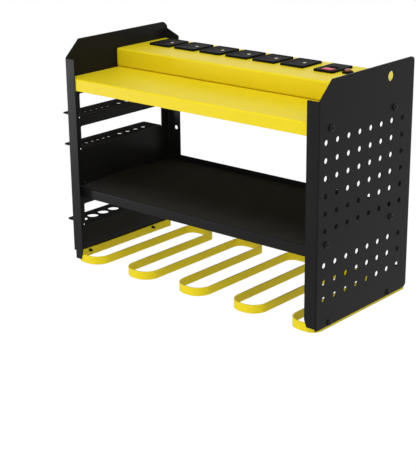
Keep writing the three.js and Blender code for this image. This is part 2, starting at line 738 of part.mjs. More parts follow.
// One outlet: three slots in its face, over three grooves that the contact rails run in.
function outlet(x) {
  const top = HOUSING_TOP + GAP + BEZEL_HEIGHT;
  const slot = (y, length) =>
    block(
      x + BLADE_SHIFT - length / 2,
      x + BLADE_SHIFT + length / 2,
      y - BLADE_SLOT / 2,
      y + BLADE_SLOT / 2,
      GROOVE_TOP - PAST,
      top + PAST,
    );
  const groove = (y, rail) => {
    const half = rail / 2 + FORK_FLARE + GROOVE_PLAY;
    return block(x - OUTLET_WIDTH, x + OUTLET_WIDTH, y - half, y + half, BODY_FOOT - PAST, GROOVE_TOP);
  };
  return cut(
    insert(x, OUTLET_Y, OUTLET_WIDTH, OUTLET_DEPTH),
    slot(OUTLET_Y + BLADE_SPREAD, LIVE_SLOT),
    slot(OUTLET_Y - BLADE_SPREAD, NEUTRAL_SLOT),
    alongZ(disc(x + EARTH_SHIFT, OUTLET_Y, EARTH_RADIUS), GROOVE_TOP - PAST, top + PAST, HOLE),
    groove(OUTLET_Y + BLADE_SPREAD, BLADE_RAIL),
    groove(OUTLET_Y - BLADE_SPREAD, BLADE_RAIL),
    groove(OUTLET_Y, EARTH_RAIL),
  );
}

// A contact rail: a channel along the row with flared walls, cut away between the plugs' places.
function rail(y, width, shift) {
  const half = width / 2;
  const mouth = RAIL_TOP - FLARE_HEIGHT;
  const inner = half - RAIL_SHEET;
  const floor = RAIL_FOOT + RAIL_SHEET;
  const section = outline([
    [y - half, RAIL_FOOT],
    [y + half, RAIL_FOOT],
    [y + half, mouth],
    [y + half + FORK_FLARE, RAIL_TOP],
    [y + inner + FORK_FLARE, RAIL_TOP],
    [y + inner, mouth],
    [y + inner, floor],
    [y - inner, floor],
    [y - inner, mouth],
    [y - inner - FORK_FLARE, RAIL_TOP],
    [y - half - FORK_FLARE, RAIL_TOP],
    [y - half, mouth],
  ]);
  const centres = outletCentres()
    .map((x) => x + shift)
    .reverse();
  const starts = [RAIL_LEFT - PAST, ...centres.map((x) => x + FORK_LENGTH / 2)];
  const ends = [...centres.map((x) => x - FORK_LENGTH / 2), RAIL_RIGHT + PAST];
  const between = starts.map((start, i) =>
    block(start, ends[i], y - width, y + width, floor, RAIL_TOP + PAST),
  );
  return cut(alongX(section, RAIL_LEFT, RAIL_RIGHT), ...between);
}

// The insulating channel under the rails, with a low rim along each side.
function railTray() {
  const floor = TRAY_FOOT + TRAY_FLOOR;
  const half = TRAY_HALF + TRAY_RIM;
  const rim = BODY_FOOT - GAP;
  const section = outline([
    [OUTLET_Y - half, TRAY_FOOT],
    [OUTLET_Y + half, TRAY_FOOT],
    [OUTLET_Y + half, rim],
    [OUTLET_Y + TRAY_HALF, rim],
    [OUTLET_Y + TRAY_HALF, floor],
    [OUTLET_Y - TRAY_HALF, floor],
    [OUTLET_Y - TRAY_HALF, rim],
    [OUTLET_Y - half, rim],
  ]);
  const ribs = [-BLADE_SPREAD, 0, BLADE_SPREAD].map((y) =>
    block(
      TRAY_LEFT,
      TRAY_RIGHT,
      OUTLET_Y + y - TRAY_RIM / 2,
      OUTLET_Y + y + TRAY_RIM / 2,
      TRAY_FOOT,
      RAIL_FOOT - GAP,
    ),
  );
  return join(alongX(section, TRAY_LEFT, TRAY_RIGHT), ...ribs);
}

// Slots in an underside that the two tabs of the switch or the breaker are pressed into.
function tabSlots(x, y, foot) {
  const w = TAB_WIDTH / 2 + GAP;
  const t = TAB_SHEET / 2 + GAP;
  return [-TAB_SPREAD, TAB_SPREAD].map((shift) =>
    block(x - w, x + w, y + shift - t, y + shift + t, foot - PAST, foot + TAB_SEAT + GAP),
  );
}

const tab = (x, y, foot) =>
  block(
    x - TAB_WIDTH / 2,
    x + TAB_WIDTH / 2,
    y - TAB_SHEET / 2,
    y + TAB_SHEET / 2,
    TAB_FOOT,
    foot + TAB_SEAT,
  );

const axle = (reach, radius) =>
  alongX(disc(ROCKER_Y, AXLE_Z, radius), ROCKER_X - reach, ROCKER_X + reach, HOLE);

function switchBody() {
  const half = ROCKER_WIDTH / 2 + WELL_PLAY;
  const length = ROCKER_HALF + 3 * WELL_PLAY;
  const well = block(
    ROCKER_X - half,
    ROCKER_X + half,
    ROCKER_Y - length,
    ROCKER_Y + length,
    WELL_FLOOR,
    HOUSING_TOP + 2 * BEZEL_HEIGHT,
  );
  const reach = ROCKER_WIDTH / 2 + AXLE_LENGTH + GAP;
  return cut(
    insert(SWITCH_X, SWITCH_Y, SWITCH_WIDTH, SWITCH_DEPTH),
    well,
    axle(reach, AXLE_RADIUS + GAP),
    ...tabSlots(ROCKER_X, ROCKER_Y, BODY_FOOT),
  );
}

// The rocker, level, with its axle; it is turned about the axle to the side it rests on.
function rocker() {
  const waist = AXLE_Z + ROCKER_WAIST;
  const crown = waist + ROCKER_RISE;
  const skirt = AXLE_Z - AXLE_RADIUS;
  const section = outline([
    [ROCKER_Y - ROCKER_HALF, skirt],
    [ROCKER_Y, AXLE_Z - ROCKER_ROUND, ROCKER_ROUND],
    [ROCKER_Y + ROCKER_HALF, skirt],
    [ROCKER_Y + ROCKER_HALF, crown],
    [ROCKER_Y, waist, ROCKER_HALF],
    [ROCKER_Y - ROCKER_HALF, crown],
  ]);
  const half = ROCKER_WIDTH / 2;
  const level = join(
    alongX(section, ROCKER_X - half, ROCKER_X + half, 3),
    axle(half + AXLE_LENGTH, AXLE_RADIUS),
  );
  const tilted = level.translate([0, -ROCKER_Y, -AXLE_Z]).rotate([ROCKER_TILT, 0, 0]);
  return tilted.translate([0, ROCKER_Y, AXLE_Z]);
}

function breakerBody() {
  const roof = HOUSING_TOP - SHEET - GAP;
  const bore = BUTTON_RADIUS + BUTTON_PLAY;
  const chamber = BUTTON_COLLAR + BUTTON_PLAY;
  const chamberTop = BUTTON_FOOT + COLLAR_HEIGHT + BUTTON_PLAY;
  const chamberFoot = BUTTON_FOOT - BUTTON_STROKE - BUTTON_PLAY;
  const neck = disc(BREAKER_X, BREAKER_Y, NECK_RADIUS);
  return cut(
    join(
      block(
        BREAKER_X - BREAKER_WIDTH / 2,
        BREAKER_X + BREAKER_WIDTH / 2,
        BREAKER_Y - BREAKER_DEPTH / 2,
        BREAKER_Y + BREAKER_DEPTH / 2,
        BREAKER_FOOT,
        roof,
      ),
      alongZ(neck, roof - PAST, NECK_TOP, ROUND / 2),
    ),
    alongZ(disc(BREAKER_X, BREAKER_Y, bore), chamberTop - PAST, NECK_TOP + PAST, ROUND / 2),
    alongZ(disc(BREAKER_X, BREAKER_Y, chamber), chamberFoot, chamberTop, ROUND / 2),
    ...tabSlots(BREAKER_X, BREAKER_Y, BREAKER_FOOT),
  );
}

// The reset button: a cap with a collar that keeps it in the breaker.
function resetButton() {
  const collarTop = BUTTON_FOOT + COLLAR_HEIGHT;
  return turned([
    [0, BUTTON_FOOT],
    [BUTTON_COLLAR, BUTTON_FOOT],
    [BUTTON_COLLAR, collarTop],
    [BUTTON_RADIUS, collarTop],
    [BUTTON_RADIUS, BUTTON_TOP - BEZEL_EDGE],
    [BUTTON_RADIUS - BEZEL_EDGE, BUTTON_TOP],
    [0, BUTTON_TOP],
  ]).translate([BREAKER_X, BREAKER_Y, 0]);
}

// The ring nut that holds the breaker, notched round its edge for a key.
function breakerRing() {
  const foot = HOUSING_TOP + GAP;
  const top = foot + RING_HEIGHT;
  const inner = NECK_RADIUS + GAP;
  const ring = turned([
    [inner, foot],
    [RING_RADIUS, foot],
    [RING_RADIUS, top - BEZEL_EDGE / 2],
    [RING_RADIUS - BEZEL_EDGE / 2, top],
    [inner, top],
  ]);
  const notches = Array.from({ length: RING_NOTCHES }, (_, i) => {
    const angle = (2 * Math.PI * i) / RING_NOTCHES;
    const centre = [RING_RADIUS * Math.cos(angle), RING_RADIUS * Math.sin(angle)];
    return alongZ(disc(...centre, BEZEL_EDGE / 2), foot - PAST, top + PAST, 3);
  });
  return cut(ring, ...notches).translate([BREAKER_X, BREAKER_Y, 0]);
}

// A short wire from one tab to the next, straight where it leaves each.
function wire(from, to) {
  const [a, b] = [from, to].map((p) => new THREE.Vector3(...p));
  const stub = new THREE.Vector3(Math.sign(b.x - a.x) * WIRE_STUB, 0, 0);
  const path = new THREE.CubicBezierCurve3(a, a.clone().add(stub), b.clone().sub(stub), b);
  return solid(
    new THREE.ExtrudeGeometry(disc(0, 0, WIRE_RADIUS), {
      extrudePath: path,
      steps: WIRE_STEPS,
      curveSegments: 4,
    }),
  );
}

function gland() {
  const outer = GLAND_FLANGE_WIDTH + GAP;
  const bushing = turned([
    [GLAND_BORE, -GLAND_REACH],
    [GLAND_RADIUS, -GLAND_REACH],
    [GLAND_RADIUS, GAP],
    [GLAND_FLANGE, GAP],
    [GLAND_FLANGE, outer - BEZEL_EDGE],
    [GLAND_FLANGE - BEZEL_EDGE, outer],
    [GLAND_BORE, outer],
  ]);
  return laid(bushing, -1).translate([-HALF, GLAND_Y, GLAND_Z]);
}

function glandNut() {
  const x = -HOUSING_HALF + SHEET + GAP;
  const hexagon = new THREE.Shape(
    Array.from({ length: 6 }, (_, i) => {
      const angle = (Math.PI * i) / 3;
      return new THREE.Vector2(
        GLAND_Y + GLAND_NUT * Math.cos(angle),
        GLAND_Z + GLAND_NUT * Math.sin(angle),
      );
    }),
  );
  return cut(
    alongX(hexagon, x, x + GLAND_NUT_WIDTH),
    alongX(disc(GLAND_Y, GLAND_Z, GLAND_RADIUS + GAP), x - PAST, x + GLAND_NUT_WIDTH + PAST, ROUND / 2),
  );
}

// A pan head screw that points down, with the underside of its head at z = 0.
function screw({ shank, head, headHeight, length, cross }) {
  const crown = headHeight / 3;
  const profile = [
    [0, -length],
    [shank, -length],
    [shank, 0],
    [head, 0],
    [head, headHeight - crown],
    [head - crown, headHeight],
    [0, headHeight],
  ];
  const body = turned(profile, SCREW_ROUND);
  const arms = [
    [cross, CROSS_WIDTH / 2],
    [CROSS_WIDTH / 2, cross],
  ];
  const floor = headHeight - CROSS_DEPTH;
  return cut(body, ...arms.map(([x, y]) => block(-x, x, -y, y, floor, headHeight + PAST)));
}

// Colours as [red, green, blue], and how rough and how metallic each finish is.
const finish = (rgb, roughness, metalness) =>
  new THREE.MeshStandardMaterial({ color: new THREE.Color(...rgb), roughness, metalness });
const BLACK_PAINT = finish([0.02, 0.019, 0.018], 0.55, 0.2);
const YELLOW_PAINT = finish([0.8, 0.6, 0.01], 0.45, 0.1);
const BLACK_PLASTIC = finish([0.012, 0.012, 0.013], 0.5, 0);
const BLACK_STEEL = finish([0.03, 0.03, 0.032], 0.4, 0.8);
const BRASS = finish([0.7, 0.5, 0.2], 0.3, 0.9);
const GREY_PLASTIC = finish([0.3, 0.3, 0.31], 0.6, 0);
const RED_PLASTIC = finish([0.6, 0.03, 0.04], 0.3, 0);
const BROWN_PLASTIC = finish([0.25, 0.05, 0.03], 0.4, 0);

const organizer = new THREE.Group();
organizer.name = "power_tool_organizer";

function add(name, body, material) {
  const mesh = new THREE.Mesh(geometryOf(body), material);
  mesh.name = name;
  organizer.add(mesh);
}

add("left_side_panel", leftPanel(), BLACK_PAINT);
add("right_side_panel", rightPanel(), BLACK_PAINT);
add("top_shelf", topShelf(), YELLOW_PAINT);
add("mid_shelf", midShelf(), BLACK_PAINT);
add("tool_rack", toolRack(), YELLOW_PAINT);
add("power_housing", powerHousing(), YELLOW_PAINT);

outletCentres().forEach((x, i) => add(`outlet_${i + 1}`, outlet(x), BLACK_PLASTIC));
add("live_rail", rail(OUTLET_Y + BLADE_SPREAD, BLADE_RAIL, BLADE_SHIFT), BRASS);
add("neutral_rail", rail(OUTLET_Y - BLADE_SPREAD, BLADE_RAIL, BLADE_SHIFT), BRASS);
add("earth_rail", rail(OUTLET_Y, EARTH_RAIL, EARTH_SHIFT), BRASS);
add("rail_tray", railTray(), GREY_PLASTIC);

add("switch_body", switchBody(), BLACK_PLASTIC);
add("rocker", rocker(), RED_PLASTIC);
add("breaker_body", breakerBody(), BLACK_PLASTIC);
add("breaker_ring", breakerRing(), BLACK_PLASTIC);
add("reset_button", resetButton(), BROWN_PLASTIC);
for (const [place, sign] of [["front", -1], ["rear", 1]]) {
  const shift = sign * TAB_SPREAD;
  add(`switch_tab_${place}`, tab(ROCKER_X, ROCKER_Y + shift, BODY_FOOT), BRASS);
  add(`breaker_tab_${place}`, tab(BREAKER_X, BREAKER_Y + shift, BREAKER_FOOT), BRASS);
}
const tabEnd = TAB_WIDTH / 2 + GAP;
const frontWire = wire(
  [BREAKER_X - tabEnd, BREAKER_Y - TAB_SPREAD, WIRE_Z],
  [ROCKER_X + tabEnd, ROCKER_Y - TAB_SPREAD, WIRE_Z],
);
const rearWire = wire(
  [ROCKER_X - tabEnd, ROCKER_Y + TAB_SPREAD, WIRE_Z],
  [RAIL_RIGHT + GAP, OUTLET_Y + BLADE_SPREAD, BODY_FOOT],
);
add("breaker_wire", frontWire, BLACK_PLASTIC);
add("rail_wire", rearWire, BLACK_PLASTIC);

add("gland_bushing", gland(), BLACK_PLASTIC);
add("gland_nut", glandNut(), BLACK_PLASTIC);

for (const [name, side] of [["left", -1], ["right", 1]]) {
  for (const { level, size, z, front } of SIDE_SCREWS) {
    const sideScrew = laid(screw(size), side).translate([side * (HALF + GAP), 0, z]);
    add(`screw_${name}_${level}_front`, sideScrew.translate([0, front, 0]), BLACK_STEEL);
    add(`screw_${name}_${level}_rear`, sideScrew.translate([0, SCREW_REAR, 0]), BLACK_STEEL);
  }
}
const upward = screw(M4).rotate([180, 0, 0]).translate([0, 0, TOP_SHELF - SHEET - GAP]);
housingScrewPlaces().forEach(([x, y], i) =>
  add(`housing_screw_${i + 1}`, upward.translate([x, y, 0]), BLACK_STEEL),
);

export default organizer;
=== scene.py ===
"""Looks of a wall mounted organizer for cordless tools, built round its packed model."""

import json
import math

import bmesh
import bpy
from bpy.props import FloatProperty, FloatVectorProperty, IntProperty, PointerProperty
from bpy.types import Operator, Panel, PropertyGroup
from mathutils import Euler, Matrix, Vector


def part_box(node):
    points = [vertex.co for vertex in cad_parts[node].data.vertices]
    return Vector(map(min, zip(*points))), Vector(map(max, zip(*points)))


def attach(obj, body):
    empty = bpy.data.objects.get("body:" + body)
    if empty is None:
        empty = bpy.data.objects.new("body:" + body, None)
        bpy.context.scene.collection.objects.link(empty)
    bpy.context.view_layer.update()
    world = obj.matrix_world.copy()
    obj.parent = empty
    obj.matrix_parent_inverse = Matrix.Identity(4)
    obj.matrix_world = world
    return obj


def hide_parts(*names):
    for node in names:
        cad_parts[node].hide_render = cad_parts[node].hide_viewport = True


bl_info = {
    "name": "Power tool organizer",
    "version": (1, 0, 0),
    "blender": (4, 5, 0),
    "location": "View3D > Sidebar > Organizer",
    "description": "Builds a wall mounted organizer for cordless tools, with its power strip",
    "category": "Add Mesh",
}

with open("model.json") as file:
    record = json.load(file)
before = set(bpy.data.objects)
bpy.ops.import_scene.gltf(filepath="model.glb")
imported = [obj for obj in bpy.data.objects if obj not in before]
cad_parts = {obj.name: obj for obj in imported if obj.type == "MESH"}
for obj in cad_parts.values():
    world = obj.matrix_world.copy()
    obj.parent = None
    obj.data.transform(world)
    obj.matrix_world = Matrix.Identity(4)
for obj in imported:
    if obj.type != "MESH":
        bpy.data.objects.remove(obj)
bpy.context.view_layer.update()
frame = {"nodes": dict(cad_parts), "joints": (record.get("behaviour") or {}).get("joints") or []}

MM = 0.001
PAST = 1 * MM  # how far a cutter runs past what it cuts
INTO = 3 * MM  # how far a cutter runs into a folded sheet from its outer face
PLAY = 0.3 * MM  # gap between a piece and what it sits on or goes through
WELD = 0.002 * MM  # points that are closer than this become one
COPLANAR = math.radians(0.5)  # faces that turn less than this become one
HOLE_SIDES = 32

PANEL_LOW, PANEL_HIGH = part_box("right_side_panel")
TRAY_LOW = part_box("left_side_panel")[0]
SHELF_LOW, SHELF_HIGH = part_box("top_shelf")
MID_LOW, MID_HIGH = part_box("mid_shelf")
RACK_LOW, RACK_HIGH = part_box("tool_rack")
HOUSING_LOW, HOUSING_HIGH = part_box("power_housing")
HALF = PANEL_HIGH.x
FRONT = PANEL_LOW.y
HEIGHT = PANEL_HIGH.z

SIDES = (("left", -1), ("right", 1))
LEVELS = ("top", "mid", "rack")
ENDS = ("front", "rear")
OUTLETS = [f"outlet_{i}" for i in range(1, 7)]
HOUSING_SCREWS = [f"housing_screw_{i}" for i in range(1, 5)]

# Radii of the holes for screws, the gland and the breaker's neck.
M4_HOLE = 2.3 * MM
M5_HOLE = 2.8 * MM
GLAND_HOLE = 7.3 * MM
NECK_HOLE = 6.1 * MM

WHITE = (1, 1, 1, 1)


# Settings.


def millimetres(name, description, size):
    """A length."""
    return FloatProperty(name=name, description=description, default=size * MM, unit="LENGTH")


def metres(name, description, *place):
    """A place or a move."""
    return FloatVectorProperty(
        name=name, description=description, subtype="TRANSLATION", size=3, default=place
    )


def degrees(name, description, turn):
    """An angle."""
    return FloatProperty(
        name=name, description=description, subtype="ANGLE", default=math.radians(turn)
    )


def watts(name, description, power):
    """The power of a lamp."""
    return FloatProperty(name=name, description=description, default=power, unit="POWER")


def whole(name, description, count, least=1):
    """A whole number."""
    return IntProperty(name=name, description=description, default=count, min=least)


def rgb(name, description, *parts):
    """A colour."""
    return FloatVectorProperty(
        name=name, description=description, subtype="COLOR", size=3, default=parts, min=0, max=1
    )


class OrganizerSheet(PropertyGroup):
    """Sizes of the folded sheet steel."""

    thickness: millimetres("Sheet", "Thickness of all folded sheet", 1.5)
    bend: millimetres("Bend", "Radius on the hollow side of a fold", 1)
    edge: millimetres("Edge", "Rounding of the sheet's cut edges", 0.28)
    bend_steps: whole("Bend steps", "Facets of a fold", 6, least=2)
    front_flange: millimetres("Front flange", "Width of a panel's front flange", 18)
    rear_flange: millimetres("Rear flange", "Width of a panel's rear flange", 25.5)
    slope_run: millimetres("Slope run", "Depth of the cut upper front corner", 27)
    slope_rise: millimetres("Slope rise", "Height of the cut upper front corner", 25)
    rear_corner: millimetres("Rear corner", "Radius of a panel's rear corners", 10)
    flange_drop: millimetres("Flange drop", "How far the rear flange's ends slope", 10)
    flange_foot: millimetres("Flange foot", "Where the right front flange begins", 3)
    foot_cut: millimetres("Foot cut", "Cut off a front flange's lower corner", 3)
    relief: millimetres("Relief", "Width of the left fold's notch", 5)
    relief_height: millimetres("Relief height", "Height of that notch", 12)
    wall_hole: millimetres("Wall hole", "Radius of the wall screws' holes", 3.25)
    wall_hole_x: millimetres("Wall hole place", "From the middle to it", 202.3)
    cord_hole: millimetres("Cord hole", "Radius of the right panel's cord hole", 6.5)


class OrganizerGrid(PropertyGroup):
    """Sizes of the perforation, the windows and the trays."""

    radius: millimetres("Hole", "Radius of the right panel's holes", 3.75)
    pitch_y: millimetres("Column pitch", "From one column to the next", 23.9)
    pitch_z: millimetres("Row pitch", "From one row to the next", 22.64)
    inset: millimetres("First column", "From the panel's front", 16.5)
    drop: millimetres("First row", "Below the panel's upper edge", 77)
    columns: whole("Columns", "Holes from front to rear", 8)
    rows: whole("Rows", "Holes from top to bottom", 10)
    left_out: whole("Left out", "Row that the middle shelf takes, from 0", 6, least=0)
    window_inset: millimetres("Window front", "From the panel's front", 24)
    window_rear: millimetres("Window rear", "Rear end of the windows", -16)
    tray_corner: millimetres("Tray corner", "Radius of a tray's outer corners", 4)


class OrganizerRack(PropertyGroup):
    """Sizes of the bent strip that tools hang in."""

    strip: millimetres("Strip", "Thickness of the strip", 2)
    slot_width: millimetres("Slot", "Clear width between two fingers", 48)
    finger_width: millimetres("Finger", "Width over a finger", 50)
    slots: whole("Slots", "Slots between fingers", 4)
    finger_bend: millimetres("Finger bend", "Hollow radius at a finger's tip", 20)
    slot_bend: millimetres("Slot bend", "Hollow radius at the rear", 13)


class OrganizerStrip(PropertyGroup):
    """Sizes of the power strip's inserts."""

    lap: millimetres("Lap", "Overlap of a bezel on the housing", 2.3)
    outlet_shift: metres("Outlet shift", "From a socket to its bezel", 1.6 * MM, -0.3 * MM, 0)
    switch_shift: metres("Switch shift", "From the switch to its bezel", 1.6 * MM, -2.6 * MM, 0)
    outlet_extra: millimetres("Outlet length", "Added to an outlet's bezel", 1.5)
    switch_extra: millimetres("Switch length", "Added to the switch's bezel", 3.6)
    corner: millimetres("Bezel corner", "Radius of a bezel's corners", 2.5)
    bevel: millimetres("Bezel bevel", "Bevel round a bezel", 0.9)
    face_inset: millimetres("Face inset", "Depth of an outlet's sunk face", 0.5)
    face_rim: millimetres("Face rim", "Width of the rim round that face", 4.2)
    blade_spread: millimetres("Blade spread", "From the centre line to a blade", 6.35)
    blade_shift: millimetres("Blade shift", "Place of the blade slots", -4.5)
    earth_shift: millimetres("Earth shift", "Place of the earth hole", 7.4)
    slot_width: millimetres("Slot width", "Width of a blade slot", 1.8)


class OrganizerColours(PropertyGroup):
    """Colours of the finishes."""

    black: rgb("Panel black", "Powder coat of the panels", 0.0092, 0.009, 0.0088)
    # Painted shade: black without sheen for level faces, so they read dark as in shade.
    tread: rgb("Tread black", "Middle shelf's tread and the trays, dulled", 0.028, 0.0265, 0.025)
    yellow: rgb("Yellow", "Powder coat of shelf, rack and housing", 0.75, 0.59, 0.011)
    plastic: rgb("Black plastic", "Outlets, bezels and gland", 0.008, 0.008, 0.0085)
    red: rgb("Rocker red", "Rocker of the switch", 0.62, 0.05, 0.06)
    brown: rgb("Button brown", "Reset button", 0.30, 0.09, 0.06)
    steel: rgb("Screw steel", "Blackened screws", 0.009, 0.009, 0.0095)
    brass: rgb("Brass", "Contact rails and tabs", 0.74, 0.54, 0.24)
    grey: rgb("Insulator grey", "Tray under the rails", 0.28, 0.28, 0.29)


class OrganizerStage(PropertyGroup):
    """The camera, the floor and the light."""

    camera_place: metres("Camera", "Place of the camera", 1.09172, -1.41166, 0.64191)
    yaw: degrees("Yaw", "Turn of the view to the left", 41.126)
    pitch: degrees("Pitch", "How far the view looks down", 19.041)
    roll: degrees("Roll", "Lean of the view", -0.684)
    lens: FloatProperty(name="Lens", description="Focal length in millimetres", default=97.638)
    floor_drop: millimetres("Floor", "From the object down to the floor", 350)
    key: watts("Key light", "Power of the lamp above", 10.2)
    fill: watts("Fill light", "Power of the left lamp", 10)
    front: watts("Front light", "Power of the low front lamp", 8)
    ambient: FloatProperty(name="Ambient", description="Strength of the room's light", default=0.48)


GROUPS = {
    "organizer_sheet": OrganizerSheet,
    "organizer_grid": OrganizerGrid,
    "organizer_rack": OrganizerRack,
    "organizer_strip": OrganizerStrip,
    "organizer_colours": OrganizerColours,
    "organizer_stage": OrganizerStage,
}


# Outlines. An outline is a list of points in the two axes across the direction it is run in.


def rounded(corners, steps):
    """Points of a closed outline from corners (x, y, radius); no radius leaves a corner sharp."""
    points = []
    count = len(corners)
    for i, (x, y, radius) in enumerate(corners):
        corner = Vector((x, y))
        if radius <= 0:
            points.append(corner)
            continue
        back = (Vector(corners[i - 1][:2]) - corner).normalized()
        ahead = (Vector(corners[(i + 1) % count][:2]) - corner).normalized()
        half = back.angle(ahead) / 2
        centre = corner + (back + ahead).normalized() * radius / math.sin(half)
        start = corner + back * radius / math.tan(half) - centre
        turn = (math.pi - 2 * half) * (-1 if back.cross(ahead) > 0 else 1)
        for step in range(steps + 1):
            spun = Matrix.Rotation(turn * step / steps, 2) @ start
            points.append(centre + spun)
    return points


def folded(face, thickness, bend, steps):
    """Section of a folded strip; its material lies to the left of the corners of one face."""
    corners = [Vector(corner[:2]) for corner in face]
    ways = [(end - start).normalized() for start, end in zip(corners, corners[1:])]
    last = len(ways)
    near, far = [], []
    for i, (here, (_, _, *own)) in enumerate(zip(corners, face)):
        radius = own[0] if own else bend
        before, after = ways[max(i - 1, 0)], ways[min(i, last - 1)]
        left = [Vector((-way.y, way.x)) for way in (before, after)]
        mitre = (left[0] + left[1]) * thickness / (1 + left[0].dot(left[1]))
        inner = 0 < i < last
        towards = before.cross(after) > 0
        near.append((*here, radius + (thickness if towards else 0) if inner else 0))
        far.append((*(here + mitre), radius + (0 if towards else thickness) if inner else 0))
    return rounded(near + far[::-1], steps)


def folded_sheet(face):
    """Section of a folded piece of the organizer's own sheet."""
    sheet = bpy.context.scene.organizer_sheet
    return folded(face, sheet.thickness, sheet.bend, sheet.bend_steps)


def rectangle(x0, x1, y0, y1, radius=0.0, steps=6):
    """A rectangle, with rounded corners if it has a radius."""
    return rounded([(x0, y0, radius), (x1, y0, radius), (x1, y1, radius), (x0, y1, radius)], steps)


def around(centre, half_x, half_y, radius=0.0, steps=6):
    """A rectangle about a centre."""
    x, y = centre[:2]
    return rectangle(x - half_x, x + half_x, y - half_y, y + half_y, radius, steps)


def arc(x, y, radius, start, end, steps, flat=1):
    """Points of an arc between two angles in quarter turns; flat scales its second axis."""
    turns = [math.pi / 2 * (start + (end - start) * i / steps) for i in range(steps + 1)]
    return [Vector((x + radius * math.cos(t), y + flat * radius * math.sin(t))) for t in turns]


def disc(x, y, radius, sides=HOLE_SIDES):
    """A circle."""
    return arc(x, y, radius, 0, 4, sides)[:-1]


# Pieces of mesh.


def piece_of(mesh, name):
    """A new object from a bmesh."""
    bmesh.ops.recalc_face_normals(mesh, faces=mesh.faces)
    data = bpy.data.meshes.new(name)
    mesh.to_mesh(data)
    mesh.free()
    made = bpy.data.objects.new(name, data)
    bpy.context.scene.collection.objects.link(made)
    return made


def run(name, axis, outline, low, high):
    """An outline run along X, Y or Z from low to high."""
    place = {
        "X": lambda a, b, c: (c, a, b),
        "Y": lambda a, b, c: (a, c, b),
        "Z": lambda a, b, c: (a, b, c),
    }[axis]
    mesh = bmesh.new()
    lower, upper = (
        [mesh.verts.new([round(part, 6) for part in place(*point, level)]) for point in outline]
        for level in (low, high)
    )
    mesh.faces.new(lower[::-1])
    mesh.faces.new(upper)
    count = len(outline)
    for i in range(count):
        j = (i + 1) % count
        mesh.faces.new((lower[i], lower[j], upper[j], upper[i]))
    return piece_of(mesh, name)


def hole(axis, x, y, radius, low, high, sides=HOLE_SIDES):
    """A round cutter along an axis."""
    return run("hole", axis, disc(x, y, radius, sides), low, high)


def block(name, low, high):
    """A box, for cutting with and for plain flat stock."""
    return run(name, "Z", rectangle(low[0], high[0], low[1], high[1]), low[2], high[2])


def revolved(name, profile, sides=48):
    """A closed profile of (radius, z) points turned about Z."""
    mesh = bmesh.new()
    rings = []
    for radius, z in profile:
        circle = disc(0, 0, radius, sides) if radius > 0 else [(0, 0)]
        rings.append([mesh.verts.new((*point, z)) for point in circle])
    pairs = list(zip(rings, rings[1:]))
    if len(rings[0]) > 1:
        pairs.append((rings[-1], rings[0]))
    for a, b in pairs:
        for i in range(sides):
            j = (i + 1) % sides
            corners = [a[i % len(a)], a[j % len(a)], b[j % len(b)], b[i % len(b)]]
            mesh.faces.new(list(dict.fromkeys(corners)))
    return piece_of(mesh, name)


def finished(piece, modifier):
    """The piece with its modifier worked into the mesh."""
    bpy.context.view_layer.update()
    graph = bpy.context.evaluated_depsgraph_get()
    old = piece.data
    piece.data = bpy.data.meshes.new_from_object(piece.evaluated_get(graph))
    piece.modifiers.remove(modifier)
    bpy.data.meshes.remove(old)
    return piece


def merged(pieces):
    """Several pieces as one object, not welded."""
    first, *others = pieces
    mesh = bmesh.new()
    for piece in pieces:
        piece.data.transform(piece.matrix_world)
        mesh.from_mesh(piece.data)
    mesh.to_mesh(first.data)
    mesh.free()
    for other in others:
        bpy.data.objects.remove(other)
    return first


def worked(piece, tools, operation):
    """The piece joined with or cut by the tools, which go."""
    tool = merged(tools)
    modifier = piece.modifiers.new("work", "BOOLEAN")
    modifier.object = tool
    modifier.operation = operation
    modifier.solver = "EXACT"
    modifier.use_self = operation == "DIFFERENCE" and len(tools) > 1
    finished(piece, modifier)
    bpy.data.objects.remove(tool)
    return piece


def cut(piece, *tools):
    """The piece without what the tools take."""
    return worked(piece, tools, "DIFFERENCE")


def joined(piece, *others):
    """The piece welded to the others, one after another."""
    for other in others:
        worked(piece, [other], "UNION")
    return piece


def softened(piece, width=0.2 * MM, segments=2, angle=32):
    """Rounds a piece's sharp edges and shades the rest smooth."""
    mesh = bmesh.new()
    mesh.from_mesh(piece.data)
    bmesh.ops.remove_doubles(mesh, verts=mesh.verts, dist=WELD)
    bmesh.ops.dissolve_limit(
        mesh, verts=mesh.verts, edges=mesh.edges,
        angle_limit=COPLANAR, use_dissolve_boundaries=False,
    )
    mesh.to_mesh(piece.data)
    mesh.free()
    bevel = piece.modifiers.new("edges", "BEVEL")
    bevel.width = width
    bevel.segments = segments
    bevel.limit_method = "ANGLE"
    bevel.angle_limit = math.radians(angle)
    bevel.miter_outer = "MITER_ARC"
    flat = piece.modifiers.new("flat_faces", "WEIGHTED_NORMAL")
    flat.mode = "FACE_AREA"
    for polygon in piece.data.polygons:
        polygon.use_smooth = True
    return piece


def dressed(piece, finish, slot, *nodes, body="frame"):
    """Gives a piece its finish and its body, and hides the solids that it stands for."""
    piece.data.materials.clear()
    piece.data.materials.append(finishes()[finish])
    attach(piece, body)
    if nodes:
        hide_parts(*nodes)
    return piece


def shade_painted(piece, in_shade):
    """Painted shade: the level faces whose middle passes a test get a black without sheen."""
    upright = 0.99
    piece.data.materials.append(finishes()["tread_black"])
    for polygon in piece.data.polygons:
        if polygon.normal.z > upright and in_shade(polygon.center):
            polygon.material_index = 1


# Finishes.


MIX_FIRST, MIX_SECOND, MIX_RESULT = 6, 7, 2  # the colour sockets of a mix node


def filled(made, **inputs):
    """A node with values on its inputs; _ in a name stands for a space."""
    for name, value in inputs.items():
        made.inputs[name.replace("_", " ")].default_value = value
    return made


def node(tree, kind, place=(0, 0), **inputs):
    """A new node with values on its inputs."""
    made = tree.nodes.new(kind)
    made.location = place
    return filled(made, **inputs)


def tie(start, end):
    """A link from an output socket to an input socket."""
    start.id_data.links.new(start, end)


